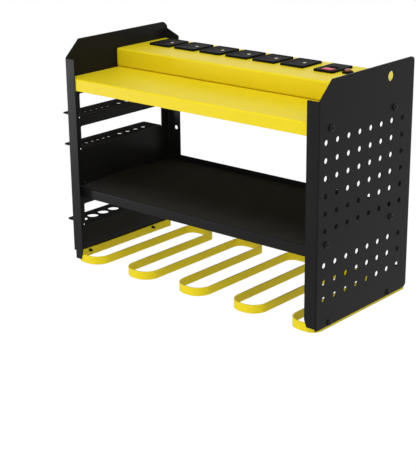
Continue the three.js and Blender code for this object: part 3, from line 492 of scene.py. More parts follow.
def new_finish(name, **inputs):
    """The shader of a new node material, with values on its inputs."""
    finish = bpy.data.materials.new(name)
    finish.use_nodes = True
    return filled(finish.node_tree.nodes["Principled BSDF"], **inputs)


def noise(shader, scale, detail, roughness=0.5):
    """A noise in the object's own space, in features per metre."""
    tree = shader.id_data
    coords = node(tree, "ShaderNodeTexCoord", (-900, 0))
    made = node(
        tree, "ShaderNodeTexNoise", (-700, 0), Scale=scale, Detail=detail, Roughness=roughness
    )
    tie(coords.outputs["Object"], made.inputs["Vector"])
    return made.outputs["Fac"]


def spread(value, centre, below, above=None):
    """A noise spread about a centre, as far above it as below unless told otherwise."""
    low, high = centre - below, centre + (above or below)
    made = node(
        value.id_data, "ShaderNodeMapRange", (-400, 0),
        From_Min=0.3, From_Max=0.7, To_Min=low, To_Max=high,
    )
    tie(value, made.inputs["Value"])
    return made.outputs["Result"]


def tinted(value, colour, lighter):
    """A colour that a noise moves to a lighter one."""
    made = node(value.id_data, "ShaderNodeMix", (-400, 200))
    made.data_type = "RGBA"
    made.inputs[MIX_FIRST].default_value = (*colour, 1)
    made.inputs[MIX_SECOND].default_value = (*(min(1, part * lighter) for part in colour), 1)
    tie(value, made.inputs["Factor"])
    return made.outputs[MIX_RESULT]


def covered(shader, colour, roughness, height, strength, distance):
    """Ties a colour, a roughness and the height of fine relief to a shader."""
    relief = node(
        shader.id_data, "ShaderNodeBump", (-200, -300), Strength=strength, Distance=distance
    )
    tie(height, relief.inputs["Height"])
    tie(colour, shader.inputs["Base Color"])
    tie(roughness, shader.inputs["Roughness"])
    tie(relief.outputs["Normal"], shader.inputs["Normal"])


def powder_coat(name, colour, grain, depth, roughness, specular):
    """Powder coat on steel: fine orange peel, with clouds of slightly duller, lighter paint."""
    shader = new_finish(name, Specular_IOR_Level=specular)
    clouds = noise(shader, scale=14, detail=3)
    peel = noise(shader, grain, detail=5, roughness=0.6)
    gloss = spread(clouds, roughness, 0.04)
    covered(shader, tinted(clouds, colour, lighter=1.12), gloss, peel, depth, 0.05 * MM)


def moulded(name, colour, grain, depth, roughness, specular):
    """Moulded plastic with a fine spark texture."""
    shader = new_finish(name, Specular_IOR_Level=specular)
    spark = noise(shader, grain, detail=6, roughness=0.7)
    clouds = noise(shader, scale=40, detail=2)
    gloss = spread(spark, roughness, 0.06)
    covered(shader, tinted(clouds, colour, lighter=1.15), gloss, spark, depth, 0.03 * MM)


def metal(name, colour, scratch, depth, roughness):
    """Bare metal with faint tool marks."""
    shader = new_finish(name, Metallic=1)
    marks = noise(shader, scratch, detail=5, roughness=0.65)
    gloss = spread(marks, roughness, 0.08, 0.1)
    covered(shader, tinted(marks, colour, lighter=1.25), gloss, marks, depth, 0.02 * MM)


def finishes():
    """All finishes by name, made once."""
    kept = {m.name: m for m in bpy.data.materials}
    if "powder_black" in kept:
        return kept
    colours = bpy.context.scene.organizer_colours
    bright = [0.5 + part / 2 for part in colours.brass]
    for kind, name, colour, grain, depth, roughness, *specular in (
        (powder_coat, "powder_black", colours.black, 2600, 0.25, 0.33, 0.075),
        # Painted shade: a black without specular for level faces, so they read dark as in shade.
        (powder_coat, "tread_black", colours.tread, 2600, 0.25, 0.7, 0),
        (powder_coat, "powder_yellow", colours.yellow, 1500, 0.1, 0.38, 0.12),
        (moulded, "plastic_black", colours.plastic, 2400, 0.25, 0.5, 0.02),
        (moulded, "plastic_grey", colours.grey, 2000, 0.25, 0.55, 0.35),
        (moulded, "rocker_red", colours.red, 900, 0.04, 0.3, 0.15),
        (moulded, "button_brown", colours.brown, 900, 0.05, 0.3, 0.5),
        (moulded, "wire_sleeve", colours.plastic, 1200, 0.1, 0.5, 0.35),
        (moulded, "black_oxide", colours.steel, 1600, 0.05, 0.24, 0.14),
        (metal, "brass", colours.brass, 700, 0.15, 0.3),
        (metal, "contact_bright", bright, 700, 0.15, 0.45),
    ):
        kind(name, colour, grain, depth, roughness, *specular)
    return {m.name: m for m in bpy.data.materials}


# Places that several pieces share.


def middle(name):
    """Middle of a solid's box."""
    low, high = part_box(name)
    return (low + high) / 2


def screw_holes(side_name, side, levels, from_x):
    """Cutters for a side's screws at these levels, from this x to past the panel."""
    span = sorted((side * from_x, side * (HALF + PAST)))
    tools = []
    for level in levels:
        radius = M4_HOLE if level == "rack" else M5_HOLE
        for end in ENDS:
            at = middle(f"screw_{side_name}_{level}_{end}")
            tools.append(hole("X", at.y, at.z, radius, *span))
    return tools


def housing_screw_holes(low, high):
    """Cutters for the screws that hold the housing down."""
    places = [middle(name) for name in HOUSING_SCREWS]
    return [hole("Z", at.x, at.y, M4_HOLE, low, high) for at in places]


class OrganizerPiece:
    """What all operators of this panel share."""

    bl_options = {"REGISTER", "UNDO"}


class ORGANIZER_OT_camera(OrganizerPiece, Operator):
    """Camera at the view the organizer is pictured from"""

    bl_idname = "organizer.camera"
    bl_label = "Camera"

    def execute(self, context):
        stage = context.scene.organizer_stage
        sight = 40
        data = bpy.data.cameras.new("camera")
        data.lens = stage.lens
        data.clip_end = sight
        camera = bpy.data.objects.new("camera", data)
        context.scene.collection.objects.link(camera)
        camera.location = stage.camera_place
        level = Euler((math.pi / 2 - stage.pitch, 0, stage.yaw)).to_matrix()
        lean = Matrix.Rotation(stage.roll, 3, "Z")
        camera.rotation_euler = (level @ lean).to_euler()
        context.scene.camera = camera
        return {"FINISHED"}


class ORGANIZER_OT_stage(OrganizerPiece, Operator):
    """Pale floor, soft lamps and a white room"""

    bl_idname = "organizer.stage"
    bl_label = "Stage"

    def execute(self, context):
        stage = context.scene.organizer_stage
        context.scene.view_settings.view_transform = "Standard"
        self.room(context, stage)
        self.floor(stage)
        self.lamp(context, "key", stage.key, place=(0.35, -0.55, 1.5), size=0.7)
        self.lamp(context, "fill", stage.fill, place=(-1.6, -1.45, 0.0), size=0.6)
        self.lamp(context, "front", stage.front, place=(0.6, -1.7, 0.1), size=1.0)
        return {"FINISHED"}

    def seen(self, tree):
        """1 for rays from the camera and for those that metal, gloss and glass send out."""
        rays = node(tree, "ShaderNodeLightPath")
        total = rays.outputs["Is Camera Ray"]
        for name in ("Is Glossy Ray", "Is Transmission Ray"):
            larger = node(tree, "ShaderNodeMath")
            larger.operation = "MAXIMUM"
            tie(total, larger.inputs[0])
            tie(rays.outputs[name], larger.inputs[1])
            total = larger.outputs[0]
        return total

    def mixed(self, share, lit, white, output):
        """Shows white by a share, and the lit shader for the rest."""
        mix = node(share.id_data, "ShaderNodeMixShader")
        tie(share, mix.inputs["Fac"])
        tie(lit.outputs[0], mix.inputs[1])
        tie(white.outputs[0], mix.inputs[2])
        tie(mix.outputs[0], output.inputs["Surface"])

    def room(self, context, stage):
        """A world that lights the object mildly and is seen white."""
        world = bpy.data.worlds.new("room")
        world.use_nodes = True
        context.scene.world = world
        tree = world.node_tree
        cool = (0.95, 0.97, 1, 1)
        light = filled(tree.nodes["Background"], Color=cool, Strength=stage.ambient)
        white = node(tree, "ShaderNodeBackground", Color=WHITE)
        self.mixed(self.seen(tree), light, white, tree.nodes["World Output"])

    def floor(self, stage):
        """A wide floor that is seen almost white and keeps the object's shadow."""
        reach, thickness, level = 12, 0.02, -stage.floor_drop
        pale, most = (0.86, 0.86, 0.86, 1), 0.93
        floor = run("floor", "Z", around((0, 0), reach, reach), level - thickness, level)
        shader = new_finish("pale_floor", Base_Color=pale, Roughness=0.9)
        tree = shader.id_data
        white = node(tree, "ShaderNodeEmission", Color=WHITE, Strength=1.04)
        share = node(tree, "ShaderNodeMath")
        share.operation = "MULTIPLY"
        share.inputs[1].default_value = most
        tie(self.seen(tree), share.inputs[0])
        self.mixed(share.outputs[0], shader, white, tree.nodes["Material Output"])
        floor.data.materials.append(bpy.data.materials["pale_floor"])

    def lamp(self, context, name, power, place, size):
        """A round lamp that faces the middle of the organizer."""
        data = bpy.data.lights.new(name, "AREA")
        data.shape = "DISK"
        data.size = size
        data.energy = power
        lamp = bpy.data.objects.new(name, data)
        context.scene.collection.objects.link(lamp)
        lamp.location = place
        aim = Vector((0, FRONT / 2, HEIGHT / 2)) - lamp.location
        lamp.rotation_euler = aim.to_track_quat("-Z", "Y").to_euler()


# Rows of holes in the trays: radius, count, from the tray's front, pitch.
BIT_HOLES = ((3.5 * MM, 6, 13.5 * MM, 11.4 * MM), (4.5 * MM, 4, 94 * MM, 17 * MM))
DRIVER_HOLES = ((8.5 * MM, 7, 11.5 * MM, 21.8 * MM),)

# The trays: height, top of the window over it, how far out its holes are, and their rows.
TRAYS = (
    (208.5 * MM, 241.5 * MM, 15 * MM, BIT_HOLES),
    (162 * MM, 193.5 * MM, 15 * MM, BIT_HOLES),
    (47 * MM, 77 * MM, 17 * MM, DRIVER_HOLES),
)
WALL_HOLE_HEIGHTS = (30 * MM, HEIGHT / 2 - 2 * MM, HEIGHT - 30 * MM)
CORD_HOLE_PLACE = (-56 * MM, HEIGHT - 18 * MM)


class ORGANIZER_OT_side_panels(OrganizerPiece, Operator):
    """Two folded side panels, one perforated and one with windows and trays"""

    bl_idname = "organizer.side_panels"
    bl_label = "Side panels"

    def execute(self, context):
        self.sheet = context.scene.organizer_sheet
        self.grid = context.scene.organizer_grid
        for name, side in SIDES:
            panel = self.blank(name, side)
            cut(panel, *(self.perforation() if side > 0 else self.windows()))
            if side < 0:
                joined(panel, *[self.tray(floor, *holes) for floor, _, *holes in TRAYS])
            softened(panel, self.sheet.edge)
            dressed(panel, "powder_black", "panel_black", f"{name}_side_panel")
            if side < 0:
                # Painted shade on the trays' level faces.
                shade_painted(panel, lambda at: at.x < -HALF)
        return {"FINISHED"}

    def blank(self, name, side):
        """A channel in plan with its front flange notched and its corners cut."""
        sheet = self.sheet
        face = [
            (side * (HALF - sheet.front_flange), FRONT),
            (side * HALF, FRONT),
            (side * HALF, 0),
            (side * (HALF - sheet.rear_flange), 0),
        ]
        panel = run(f"{name}_panel", "Z", folded_sheet(face[::side]), 0, HEIGHT)
        slope = [
            (FRONT - sheet.slope_run, HEIGHT - 2 * sheet.slope_rise),
            (FRONT + 2 * sheet.slope_run, HEIGHT + sheet.slope_rise),
            (FRONT - sheet.slope_run, HEIGHT + sheet.slope_rise),
        ]
        cut(panel, run("slope", "X", slope, -HALF - PAST, HALF + PAST))
        self.foot(panel, side)
        for z, inward in ((0, 1), (HEIGHT, -1)):
            self.rear_end(panel, side, z, inward)
        x, radius = side * sheet.wall_hole_x, sheet.wall_hole
        span = (-sheet.thickness - PAST, PAST)
        cut(panel, *[hole("Y", x, z, radius, *span) for z in WALL_HOLE_HEIGHTS])
        inmost = HALF - 8 * MM
        return cut(panel, *screw_holes(name, side, LEVELS, inmost))

    def foot(self, panel, side):
        """Frees the front flange's foot: a notch at the left, a shorter flange at the right."""
        sheet = self.sheet
        free = side * (HALF - sheet.front_flange)
        lowest = sheet.flange_foot if side > 0 else 0
        if side > 0:
            low = (free - PAST, FRONT - PAST, -PAST)
            high = (HALF - sheet.thickness, FRONT + sheet.thickness + PAST, lowest)
        else:
            low = (-HALF - PAST, FRONT - PAST, -PAST)
            high = (sheet.relief - HALF, FRONT + sheet.relief, sheet.relief_height)
        cut(panel, block("foot", low, high))
        corner = [
            (free, lowest - 2 * sheet.foot_cut),
            (free + side * 2 * sheet.foot_cut, lowest - 2 * sheet.foot_cut),
            (free - side * sheet.foot_cut, lowest + 6 * sheet.foot_cut),
        ]
        cut(panel, run("corner", "Y", corner, FRONT - PAST, FRONT + sheet.thickness + PAST))

    def rear_end(self, panel, side, z, inward):
        """Rounds a rear corner and slopes the end of the rear flange."""
        sheet = self.sheet
        radius = sheet.rear_corner
        begin, beyond = z + inward * radius, z - inward * PAST
        edge = side * (HALF - sheet.rear_flange - PAST)
        corner = arc(-radius, begin, radius, -inward, 0, steps=12)
        corner += [(PAST, begin), (PAST, beyond), (-radius, beyond)]
        cut(panel, run("corner", "X", corner, *sorted((edge, side * (HALF + PAST)))))
        fold = side * (HALF - sheet.thickness - sheet.bend)
        end = [(fold, begin), (fold, beyond), (edge, beyond)]
        end.append((edge, begin + inward * sheet.flange_drop))
        cut(panel, run("end", "Y", end, -sheet.thickness - PAST / 2, PAST))

    def perforation(self):
        """Cutters for the right panel's grid and its cord hole."""
        grid = self.grid
        span = (HALF - self.sheet.thickness - PAST, HALF + PAST)
        tools = []
        for row in range(grid.rows):
            z = HEIGHT - grid.drop - row * grid.pitch_z
            for column in range(grid.columns if row != grid.left_out else 0):
                y = FRONT + grid.inset + column * grid.pitch_y
                tools.append(hole("X", y, z, grid.radius, *span, sides=24))
        return [*tools, hole("X", *CORD_HOLE_PLACE, self.sheet.cord_hole, *span)]

    def windows(self):
        """Cutters for the left panel's windows, the reliefs of their folds and the gland."""
        sheet = self.sheet
        span = (-HALF - PAST, -HALF + sheet.thickness + PAST)
        corner, relief, slit_width, slit_height = 2 * MM, 1.5 * MM, 1 * MM, 3 * MM
        front, rear = FRONT + self.grid.window_inset, self.grid.window_rear
        tools = []
        for floor, top, *_ in TRAYS:
            fold = floor - sheet.thickness - sheet.bend
            opening = rounded(
                [(front, fold, 0), (rear, fold, 0), (rear, top, corner), (front, top, corner)],
                steps=6,
            )
            slit = rectangle(rear - PAST / 2, rear + slit_width, floor - slit_height, floor)
            round_end = disc(front - relief, floor - sheet.thickness, relief, sides=24)
            tools += [run("opening", "X", shape, *span) for shape in (opening, slit, round_end)]
        gland = middle("gland_bushing")
        return [*tools, hole("X", gland.y, gland.z, GLAND_HOLE, *span)]

    def tray(self, floor, hole_reach, rows):
        """A window's sheet, folded outward, with its holes."""
        inside, reach = -HALF + self.sheet.thickness, TRAY_LOW.x
        front, rear = FRONT + self.grid.window_inset, self.grid.window_rear
        root, span = floor - 6 * MM, (floor - 4 * MM, floor + PAST)
        section = folded_sheet([(inside, root), (inside, floor), (reach, floor)])
        tray = run("tray", "Y", section, front, rear)
        radius, out_x = self.grid.tray_corner, reach - PAST
        tools = []
        for y, way in ((front, 1), (rear, -1)):
            out_y = y - way * PAST
            corner = arc(reach + radius, y + way * radius, radius, 2 + way, 2, steps=8)
            outside = [(out_x, corner[-1].y), (out_x, out_y), (corner[0].x, out_y)]
            tools.append(run("corner", "Z", corner + outside, *span))
        for radius, count, inset, pitch in rows:
            places = [front + inset + i * pitch for i in range(count)]
            tools += [hole("Z", -HALF - hole_reach, y, radius, *span, sides=28) for y in places]
        return cut(tray, *tools)


class ORGANIZER_OT_shelves(OrganizerPiece, Operator):
    """The yellow top shelf and the black middle shelf"""

    bl_idname = "organizer.shelves"
    bl_label = "Shelves"

    def execute(self, context):
        sheet = context.scene.organizer_sheet
        x, rear = SHELF_HIGH.x, SHELF_HIGH.y
        front, foot, tread = SHELF_LOW.y, SHELF_LOW.z, SHELF_HIGH.z
        lips = [(rear, foot), (rear, tread), (front, tread), (front, foot)]
        flanges = [(x, foot), (x, tread), (-x, tread), (-x, foot)]
        top = self.shelf("top", lips, flanges, front)
        cut(top, *housing_screw_holes(tread - INTO, tread + PAST))
        dressed(softened(top, sheet.edge), "powder_yellow", "yellow_paint", "top_shelf")

        front, foot, lip = MID_LOW.y, MID_LOW.z, MID_HIGH.z
        lip_height = 9 * MM
        deck = lip - lip_height
        under = deck - sheet.thickness
        behind = MID_HIGH.y - sheet.thickness
        lips = [(behind, lip), (behind, deck), (front, deck), (front, foot)]
        flanges = [(-x, lip), (-x, under), (x, under), (x, lip)]
        mid = self.shelf("mid", lips, flanges, front)
        dressed(softened(mid, sheet.edge), "powder_black", "panel_black", "mid_shelf")
        # Painted shade on the tread under the top shelf.
        shade_painted(mid, lambda at: abs(at.z - deck) < sheet.edge)
        return {"FINISHED"}

    def shelf(self, name, lips, flanges, front):
        """A tread with lips and flanges, notched where they meet."""
        notch = 3 * MM
        x, rear = SHELF_HIGH.x, SHELF_HIGH.y
        inmost = x - 6 * MM
        shelf = run(f"{name}_shelf", "X", folded_sheet(lips), -x + notch, x - notch)
        joined(shelf, run("flanges", "Y", folded_sheet(flanges), front + notch, rear - notch))
        for side_name, side in SIDES:
            cut(shelf, *screw_holes(side_name, side, [name], inmost))
        return shelf


class ORGANIZER_OT_tool_rack(OrganizerPiece, Operator):
    """The strip that is bent to and fro for tools to hang in"""

    bl_idname = "organizer.tool_rack"
    bl_label = "Tool rack"

    def execute(self, context):
        rack = context.scene.organizer_rack
        pitch = rack.finger_width + rack.slot_width
        x, front, rear = RACK_HIGH.x, RACK_LOW.y, RACK_HIGH.y
        floor = rear - rack.strip
        face = [(-x, rear), (-x, front)]
        for slot in range(rack.slots):
            centre = (slot - (rack.slots - 1) / 2) * pitch
            left, right = centre - rack.slot_width / 2, centre + rack.slot_width / 2
            face += [(left, front, rack.finger_bend), (left, floor)]
            face += [(right, floor), (right, front, rack.finger_bend)]
        face += [(x, front), (x, rear)]
        plan = folded(face, rack.strip, rack.slot_bend, steps=14)
        strip = run("tool_strip", "Z", plan, RACK_LOW.z, RACK_HIGH.z)
        holes = []
        for side_name, side in SIDES:
            holes += screw_holes(side_name, side, ["rack"], x - INTO)
        cut(strip, *holes)
        dressed(softened(strip, 0.35 * MM), "powder_yellow", "yellow_paint", "tool_rack")
        return {"FINISHED"}


def insert_size(name):
    """Centre and half sizes of an insert's bezel: its solid's, moved and lengthened a little."""
    strip = bpy.context.scene.organizer_strip
    low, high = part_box(name)
    switch = name == "switch_body"
    shift = Vector(strip.switch_shift if switch else strip.outlet_shift)
    extra = strip.switch_extra if switch else strip.outlet_extra
    return (low + high) / 2 + shift, (high.x - low.x) / 2, (high.y - low.y + extra) / 2


class ORGANIZER_OT_power_housing(OrganizerPiece, Operator):
    """The folded housing of the power strip"""

    bl_idname = "organizer.power_housing"
    bl_label = "Power housing"

    def execute(self, context):
        sheet = context.scene.organizer_sheet
        lap = context.scene.organizer_strip.lap
        x, top, foot = HOUSING_HIGH.x, HOUSING_HIGH.z, HOUSING_LOW.z
        front, rear = HOUSING_LOW.y, HOUSING_HIGH.y
        flange = 14 * MM
        face = [(rear - flange, foot), (rear, foot), (rear, top)]
        face += [(front, top), (front, foot), (front + flange, foot)]
        section = folded(face, sheet.thickness, bend=1.4 * MM, steps=8)
        housing = run("strip_housing", "X", section, -x, x)
        inside = sheet.thickness / 2
        for side in (-1, 1):
            low, high = sorted((side * (x - sheet.thickness), side * x))
            corners = (low, front + inside, foot), (high, rear - inside, top - inside)
            joined(housing, block("end", *corners))
        deck = (top - INTO, top + PAST)
        tools = []
        for name in (*OUTLETS, "switch_body"):
            centre, half_x, half_y = insert_size(name)
            plan = around(centre, half_x - lap + PLAY, half_y - lap + PLAY)
            tools.append(run("hole", "Z", plan, *deck))
        breaker, gland = middle("reset_button"), middle("gland_bushing")
        tools.append(hole("Z", breaker.x, breaker.y, NECK_HOLE, *deck))
        cut(housing, *tools, *housing_screw_holes(foot - PAST, foot + INTO))
        cut(housing, hole("X", gland.y, gland.z, GLAND_HOLE, -x - PAST, -x + INTO))
        dressed(softened(housing, sheet.edge), "powder_yellow", "yellow_paint", "power_housing")
        return {"FINISHED"}


def insert(name, node_name, strip):
    """A bezel with a bevelled edge over a body that goes down through the deck."""
    low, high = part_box(node_name)
    centre, half_x, half_y = insert_size(node_name)
    seat, overlap, near = HOUSING_HIGH.z + PLAY, 0.5 * MM, 0.01 * MM
    bezel = run(name, "Z", around(centre, half_x, half_y, strip.corner, 8), seat, high.z)
    mesh = bmesh.new()
    mesh.from_mesh(bezel.data)
    rim = [edge for edge in mesh.edges if all(v.co.z > high.z - near for v in edge.verts)]
    bmesh.ops.bevel(mesh, geom=rim, offset=strip.bevel, segments=4, profile=0.6, affect="EDGES")
    mesh.to_mesh(bezel.data)
    mesh.free()
    plan = around(centre, half_x - strip.lap, half_y - strip.lap)
    return joined(bezel, run("body", "Z", plan, low.z, seat + overlap))


class ORGANIZER_OT_outlets(OrganizerPiece, Operator):
    """Six outlets, each with two blade slots and an earth hole"""

    bl_idname = "organizer.outlets"
    bl_label = "Outlets"

    def execute(self, context):
        strip = context.scene.organizer_strip
        for name in OUTLETS:
            outlet = insert(f"{name}_unit", name, strip)
            centre, half_x, half_y = insert_size(name)
            top, corner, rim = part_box(name)[1].z, 2 * MM, strip.face_rim
            face = around(centre, half_x - rim, half_y - rim, corner)
            cut(outlet, run("face", "Z", face, top - strip.face_inset, top + PAST))
            centre = middle(name)
            cut(outlet, *self.slots(centre, strip, top))
            cut(outlet, *self.grooves(centre, strip))
            dressed(softened(outlet), "plastic_black", "black_plastic", name)
            contact = self.contact(f"{name}_contact", centre, strip, top)
            dressed(contact, "contact_bright", "brass")
        return {"FINISHED"}

    def slots(self, centre, strip, top):
        """Cutters for the two blade slots and the earth hole."""
        depth, short, long = 7 * MM, 7 * MM, 8.6 * MM
        span = (top - depth, top + PAST)
        tools = []
        for way, length in ((1, short), (-1, long)):
            at = (centre.x + strip.blade_shift, centre.y + way * strip.blade_spread)
            tools.append(run("slot", "Z", around(at, length / 2, strip.slot_width / 2), *span))
        x, y, radius, back = centre.x + strip.earth_shift, centre.y, 2.6 * MM, 1.95 * MM
        earth = arc(x, y, radius, -1, 1, steps=16)
        earth += [(x - back, y + radius), (x - back, y - radius)]
        return [*tools, run("earth", "Z", earth, *span)]

    def grooves(self, centre, strip):
        """Cutters for the three grooves that the contact rails run in."""
        half_length, side_gap, top_gap = 30 * MM, 0.4 * MM, 1.2 * MM
        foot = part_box("outlet_1")[0].z
        tools = []
        for name, way in (("live_rail", 1), ("earth_rail", 0), ("neutral_rail", -1)):
            low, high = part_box(name)
            at = (centre.x, centre.y + way * strip.blade_spread)
            plan = around(at, half_length, (high.y - low.y) / 2 + side_gap)
            tools.append(run("groove", "Z", plan, foot - PAST, high.z + top_gap))
        return tools

    def contact(self, name, centre, strip, top):
        """The bright mouth of the earth contact, a thin sleeve in the earth hole."""
        outer, inner, sunk, depth = 2.4 * MM, 1.5 * MM, 0.05 * MM, 6 * MM
        mouth, foot = top - strip.face_inset - sunk, top - depth
        profile = [(outer, foot), (outer, mouth), (inner, mouth), (inner, foot)]
        sleeve = revolved(name, profile, sides=24)
        sleeve.location = (centre.x + strip.earth_shift, centre.y, 0)
        return softened(sleeve, 0.08 * MM, segments=1)


class ORGANIZER_OT_rocker_switch(OrganizerPiece, Operator):
    """The rocker switch in its bezel"""

    bl_idname = "organizer.rocker_switch"
    bl_label = "Rocker switch"

    def execute(self, context):
        body = insert("switch_unit", "switch_body", context.scene.organizer_strip)
        low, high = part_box("rocker")
        joint = next(j for j in frame["joints"] if j["child"] == "rocker")
        axle = Vector(joint["pos_m"])
        inset, front, rear = 1 * MM, 11.2 * MM, 9.6 * MM
        play, swing, depth = 0.4 * MM, 1.2 * MM, 11.8 * MM
        half = (high.x - low.x) / 2 - inset
        x0, x1 = axle.x - half - play, axle.x + half + play
        well = rectangle(x0, x1, axle.y - front - swing, axle.y + rear + swing)
        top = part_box("switch_body")[1].z
        cut(body, run("well", "Z", well, top - depth, top + PAST))
        dressed(softened(body), "plastic_black", "black_plastic", "switch_body")

        # The rocker's section, from its axle: how far to the rear, how high, and radius.
        edge, belly, ridge = 0.6 * MM, 2 * MM, 6 * MM
        waist, lowest = 4 * MM, -4.6 * MM
        corners = [
            (-front, 0.6 * MM, edge),
            (-waist, lowest, belly),
            (waist, lowest, belly),
            (rear, -3.4 * MM, edge),
            (rear, -0.6 * MM, edge),
            (0, 3.1 * MM, ridge),
            (-front, 3.5 * MM, edge),
        ]
        rocker = run("rocker_cap", "X", rounded(corners, steps=8), -half, half)
        softened(rocker, 0.25 * MM, segments=3, angle=40)
        rocker.data.transform(Matrix.Translation(axle))
        dressed(rocker, "rocker_red", "red_plastic", "rocker", body="rocker")
        return {"FINISHED"}


class ORGANIZER_OT_breaker(OrganizerPiece, Operator):
    """The resettable breaker with its ring nut and button"""

    bl_idname = "organizer.breaker"
    bl_label = "Breaker"

    def execute(self, context):
        at = middle("reset_button")
        self.case(at, context.scene.organizer_sheet.thickness)
        self.ring(at)
        self.button(at)
        return {"FINISHED"}

    def case(self, at, sheet):
        """The breaker's case under the deck and its threaded neck."""
        low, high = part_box("breaker_body")
        roof = HOUSING_HIGH.z - sheet - PLAY
        neck, bore, chamber = 5.8 * MM, 4.3 * MM, 5.2 * MM
        bore_foot, chamber_foot, chamber_top = roof - 4 * MM, low.z + 6.1 * MM, roof - 2.1 * MM
        case = block("breaker_case", low, (high.x, high.y, roof))
        joined(case, hole("Z", at.x, at.y, neck, roof - PAST, high.z, sides=48))
        cut(case, hole("Z", at.x, at.y, bore, bore_foot, high.z + PAST, sides=48))
        cut(case, hole("Z", at.x, at.y, chamber, chamber_foot, chamber_top, sides=48))
        dressed(softened(case), "plastic_black", "black_plastic", "breaker_body")

    def ring(self, at):
        """The ring nut, notched round its edge for a key."""
        low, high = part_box("breaker_ring")
        outer, inner, chamfer = (high.x - low.x) / 2, NECK_HOLE, 0.6 * MM
        shoulder = [(outer, low.z), (outer, high.z - chamfer), (outer - chamfer, high.z)]
        ring = revolved("ring_nut", [(inner, low.z), *shoulder, (inner, high.z)], sides=64)
        notch, span = 0.6 * MM, (low.z - PAST, high.z + PAST)
        places = disc(0, 0, outer, sides=8)
        cut(ring, *[hole("Z", x, y, notch, *span, sides=12) for x, y in places])
        ring.data.transform(Matrix.Translation((at.x, at.y, 0)))
        softened(ring, 0.12 * MM, angle=40)
        dressed(ring, "plastic_black", "black_plastic", "breaker_ring")

    def button(self, at):
        """The button, domed, with a collar that keeps it in."""
        low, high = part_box("reset_button")
        radius, collar, rim, rise = 4 * MM, 4.9 * MM, 1.5 * MM, 1.2 * MM
        dome = arc(0, high.z - rise, radius, 0, 1, steps=8, flat=rise / radius)[:-1]
        foot = [(0, low.z), (collar, low.z), (collar, low.z + rim), (radius, low.z + rim)]
        button = revolved("button_cap", [*foot, *dome, (0, high.z)])
        button.data.transform(Matrix.Translation((at.x, at.y, 0)))
        softened(button, 0.15 * MM, angle=40)
        dressed(button, "button_brown", "brown_plastic", "reset_button", body="reset_button")


class ORGANIZER_OT_gland(OrganizerPiece, Operator):
    """The gland that the supply lead goes through, with its nut"""

    bl_idname = "organizer.gland"
    bl_label = "Gland"

    def execute(self, context):
        low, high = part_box("gland_bushing")
        at = middle("gland_bushing")
        body, bore, flange, soft = 7 * MM, 4 * MM, (high.y - low.y) / 2, 1.2 * MM
        seat = -HALF - PLAY
        inner, outer = seat - high.x, seat - low.x
        edge = arc(flange - soft, outer - soft, soft, 0, 1, steps=6)
        profile = [(bore, inner), (body, inner), (body, 0), (flange, 0), *edge, (bore, outer)]
        bushing = revolved("lead_bushing", profile)
        lay = Matrix.Translation((seat, at.y, at.z)) @ Matrix.Rotation(-math.pi / 2, 4, "Y")
        bushing.data.transform(lay)
        softened(bushing, 0.25 * MM, angle=40)
        dressed(bushing, "plastic_black", "black_plastic", "gland_bushing")

        low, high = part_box("gland_nut")
        hexagon = disc(at.y, at.z, (high.y - low.y) / 2, sides=6)
        nut = run("lead_nut", "X", hexagon, low.x, high.x)
        cut(nut, hole("X", at.y, at.z, GLAND_HOLE, low.x - PAST, high.x + PAST))
        dressed(softened(nut, 0.3 * MM), "plastic_black", "black_plastic", "gland_nut")
        return {"FINISHED"}


# Radii of a screw's shank and head, the head's height and half the width of its recess.
M5_SCREW = (2.5 * MM, 4.5 * MM, 3 * MM, 2.6 * MM)
M4_SCREW = (2 * MM, 3.75 * MM, 2.5 * MM, 2.1 * MM)


class ORGANIZER_OT_screws(OrganizerPiece, Operator):
    """All screws: pan heads with a cross recess"""

    bl_idname = "organizer.screws"
    bl_label = "Screws"

    def execute(self, context):
        side_screw = self.screw("side_screw", 11 * MM, *M5_SCREW)
        rack_screw = self.screw("rack_screw", 9 * MM, *M4_SCREW)
        for side_name, side in SIDES:
            turn = Matrix.Rotation(side * math.pi / 2, 4, "Y")
            for level in LEVELS:
                pattern = rack_screw if level == "rack" else side_screw
                for end in ENDS:
                    name = f"screw_{side_name}_{level}_{end}"
                    at = middle(name)
                    at.x = side * (HALF + PLAY)
                    self.place(pattern, name, Matrix.Translation(at) @ turn)
        low_screw = self.screw("low_screw", 7 * MM, *M4_SCREW)
        turn = Matrix.Rotation(math.pi, 4, "X")
        for name in HOUSING_SCREWS:
            at = middle(name)
            at.z = SHELF_HIGH.z - context.scene.organizer_sheet.thickness - PLAY
            self.place(low_screw, name, Matrix.Translation(at) @ turn)
        for spare in (side_screw, rack_screw, low_screw):
            bpy.data.objects.remove(spare)
        return {"FINISHED"}

    def screw(self, name, length, shank, head, height, cross):
        """A screw that points down, with the underside of its head at the origin."""
        tip, root, neck = shank * 0.7, shank * 0.88, shank * 0.95
        pitch, start, runout, arm, depth = 0.8 * MM, 1 * MM, 0.8 * MM, 0.5 * MM, 1.5 * MM
        profile = [(0, -length), (tip, -length)]
        for i in range(int((length - 2 * start) / pitch)):
            z = -length + start + i * pitch
            profile += [(root, z), (shank, z + pitch / 2)]
        side = height * 0.3
        crown = arc(0, side, head, 0, 1, steps=7, flat=(height - side) / head)[:-1]
        profile += [(neck, -runout), (neck, 0), (head, 0), *crown, (0, height)]
        made = revolved(name, profile, sides=32)
        for x, y in ((cross, arm), (arm, cross)):
            cut(made, block("arm", (-x, -y, height - depth), (x, y, height + PAST)))
        return made

    def place(self, pattern, name, where):
        """A copy of a screw at its place, which stands for that solid."""
        made = bpy.data.objects.new(f"{name}_pan", pattern.data.copy())
        bpy.context.scene.collection.objects.link(made)
        made.data.transform(where)
        softened(made, 0.12 * MM, segments=1, angle=50)
        dressed(made, "black_oxide", "black_steel", name)


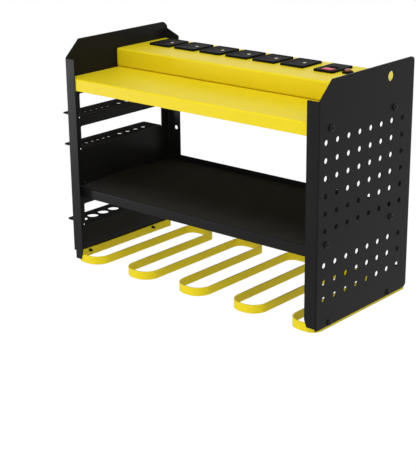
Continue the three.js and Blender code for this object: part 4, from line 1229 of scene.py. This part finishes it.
class ORGANIZER_OT_wiring(OrganizerPiece, Operator):
    """Finishes for what lies inside the housing"""

    bl_idname = "organizer.wiring"
    bl_label = "Wiring"

    def execute(self, context):
        made = finishes()
        tabs = [f"{part}_tab_{end}" for part in ("switch", "breaker") for end in ENDS]
        inside = {
            "brass": ["live_rail", "neutral_rail", "earth_rail", *tabs],
            "plastic_grey": ["rail_tray"],
            "wire_sleeve": ["breaker_wire", "rail_wire"],
        }
        for finish, names in inside.items():
            for name in names:
                data = frame["nodes"][name].data
                data.materials.clear()
                data.materials.append(made[finish])
        return {"FINISHED"}


STEPS = (
    ORGANIZER_OT_camera,
    ORGANIZER_OT_stage,
    ORGANIZER_OT_side_panels,
    ORGANIZER_OT_shelves,
    ORGANIZER_OT_tool_rack,
    ORGANIZER_OT_power_housing,
    ORGANIZER_OT_outlets,
    ORGANIZER_OT_rocker_switch,
    ORGANIZER_OT_breaker,
    ORGANIZER_OT_gland,
    ORGANIZER_OT_screws,
    ORGANIZER_OT_wiring,
)


class ORGANIZER_PT_pieces(Panel):
    """Lists the organizer's pieces and their sizes"""

    bl_idname = "ORGANIZER_PT_pieces"
    bl_label = "Organizer"
    bl_space_type = "VIEW_3D"
    bl_region_type = "UI"
    bl_category = "Organizer"

    def draw(self, context):
        for step in STEPS:
            self.layout.operator(step.bl_idname)
        for name, group in GROUPS.items():
            box = self.layout.box()
            box.label(text=group.__doc__)
            for key in group.__annotations__:
                box.prop(getattr(context.scene, name), key)


def register():
    """Makes the classes and the settings known."""
    for group in GROUPS.values():
        bpy.utils.register_class(group)
    for name, group in GROUPS.items():
        setattr(bpy.types.Scene, name, PointerProperty(type=group))
    for made in (*STEPS, ORGANIZER_PT_pieces):
        bpy.utils.register_class(made)


def unregister():
    """Takes them away again."""
    for made in reversed((*STEPS, ORGANIZER_PT_pieces)):
        bpy.utils.unregister_class(made)
    for name, group in GROUPS.items():
        delattr(bpy.types.Scene, name)
        bpy.utils.unregister_class(group)


def main():
    """Builds everything."""
    register()
    for step in STEPS:
        group, name = step.bl_idname.split(".")
        getattr(getattr(bpy.ops, group), name)()


if __name__ == "__main__":
    main()
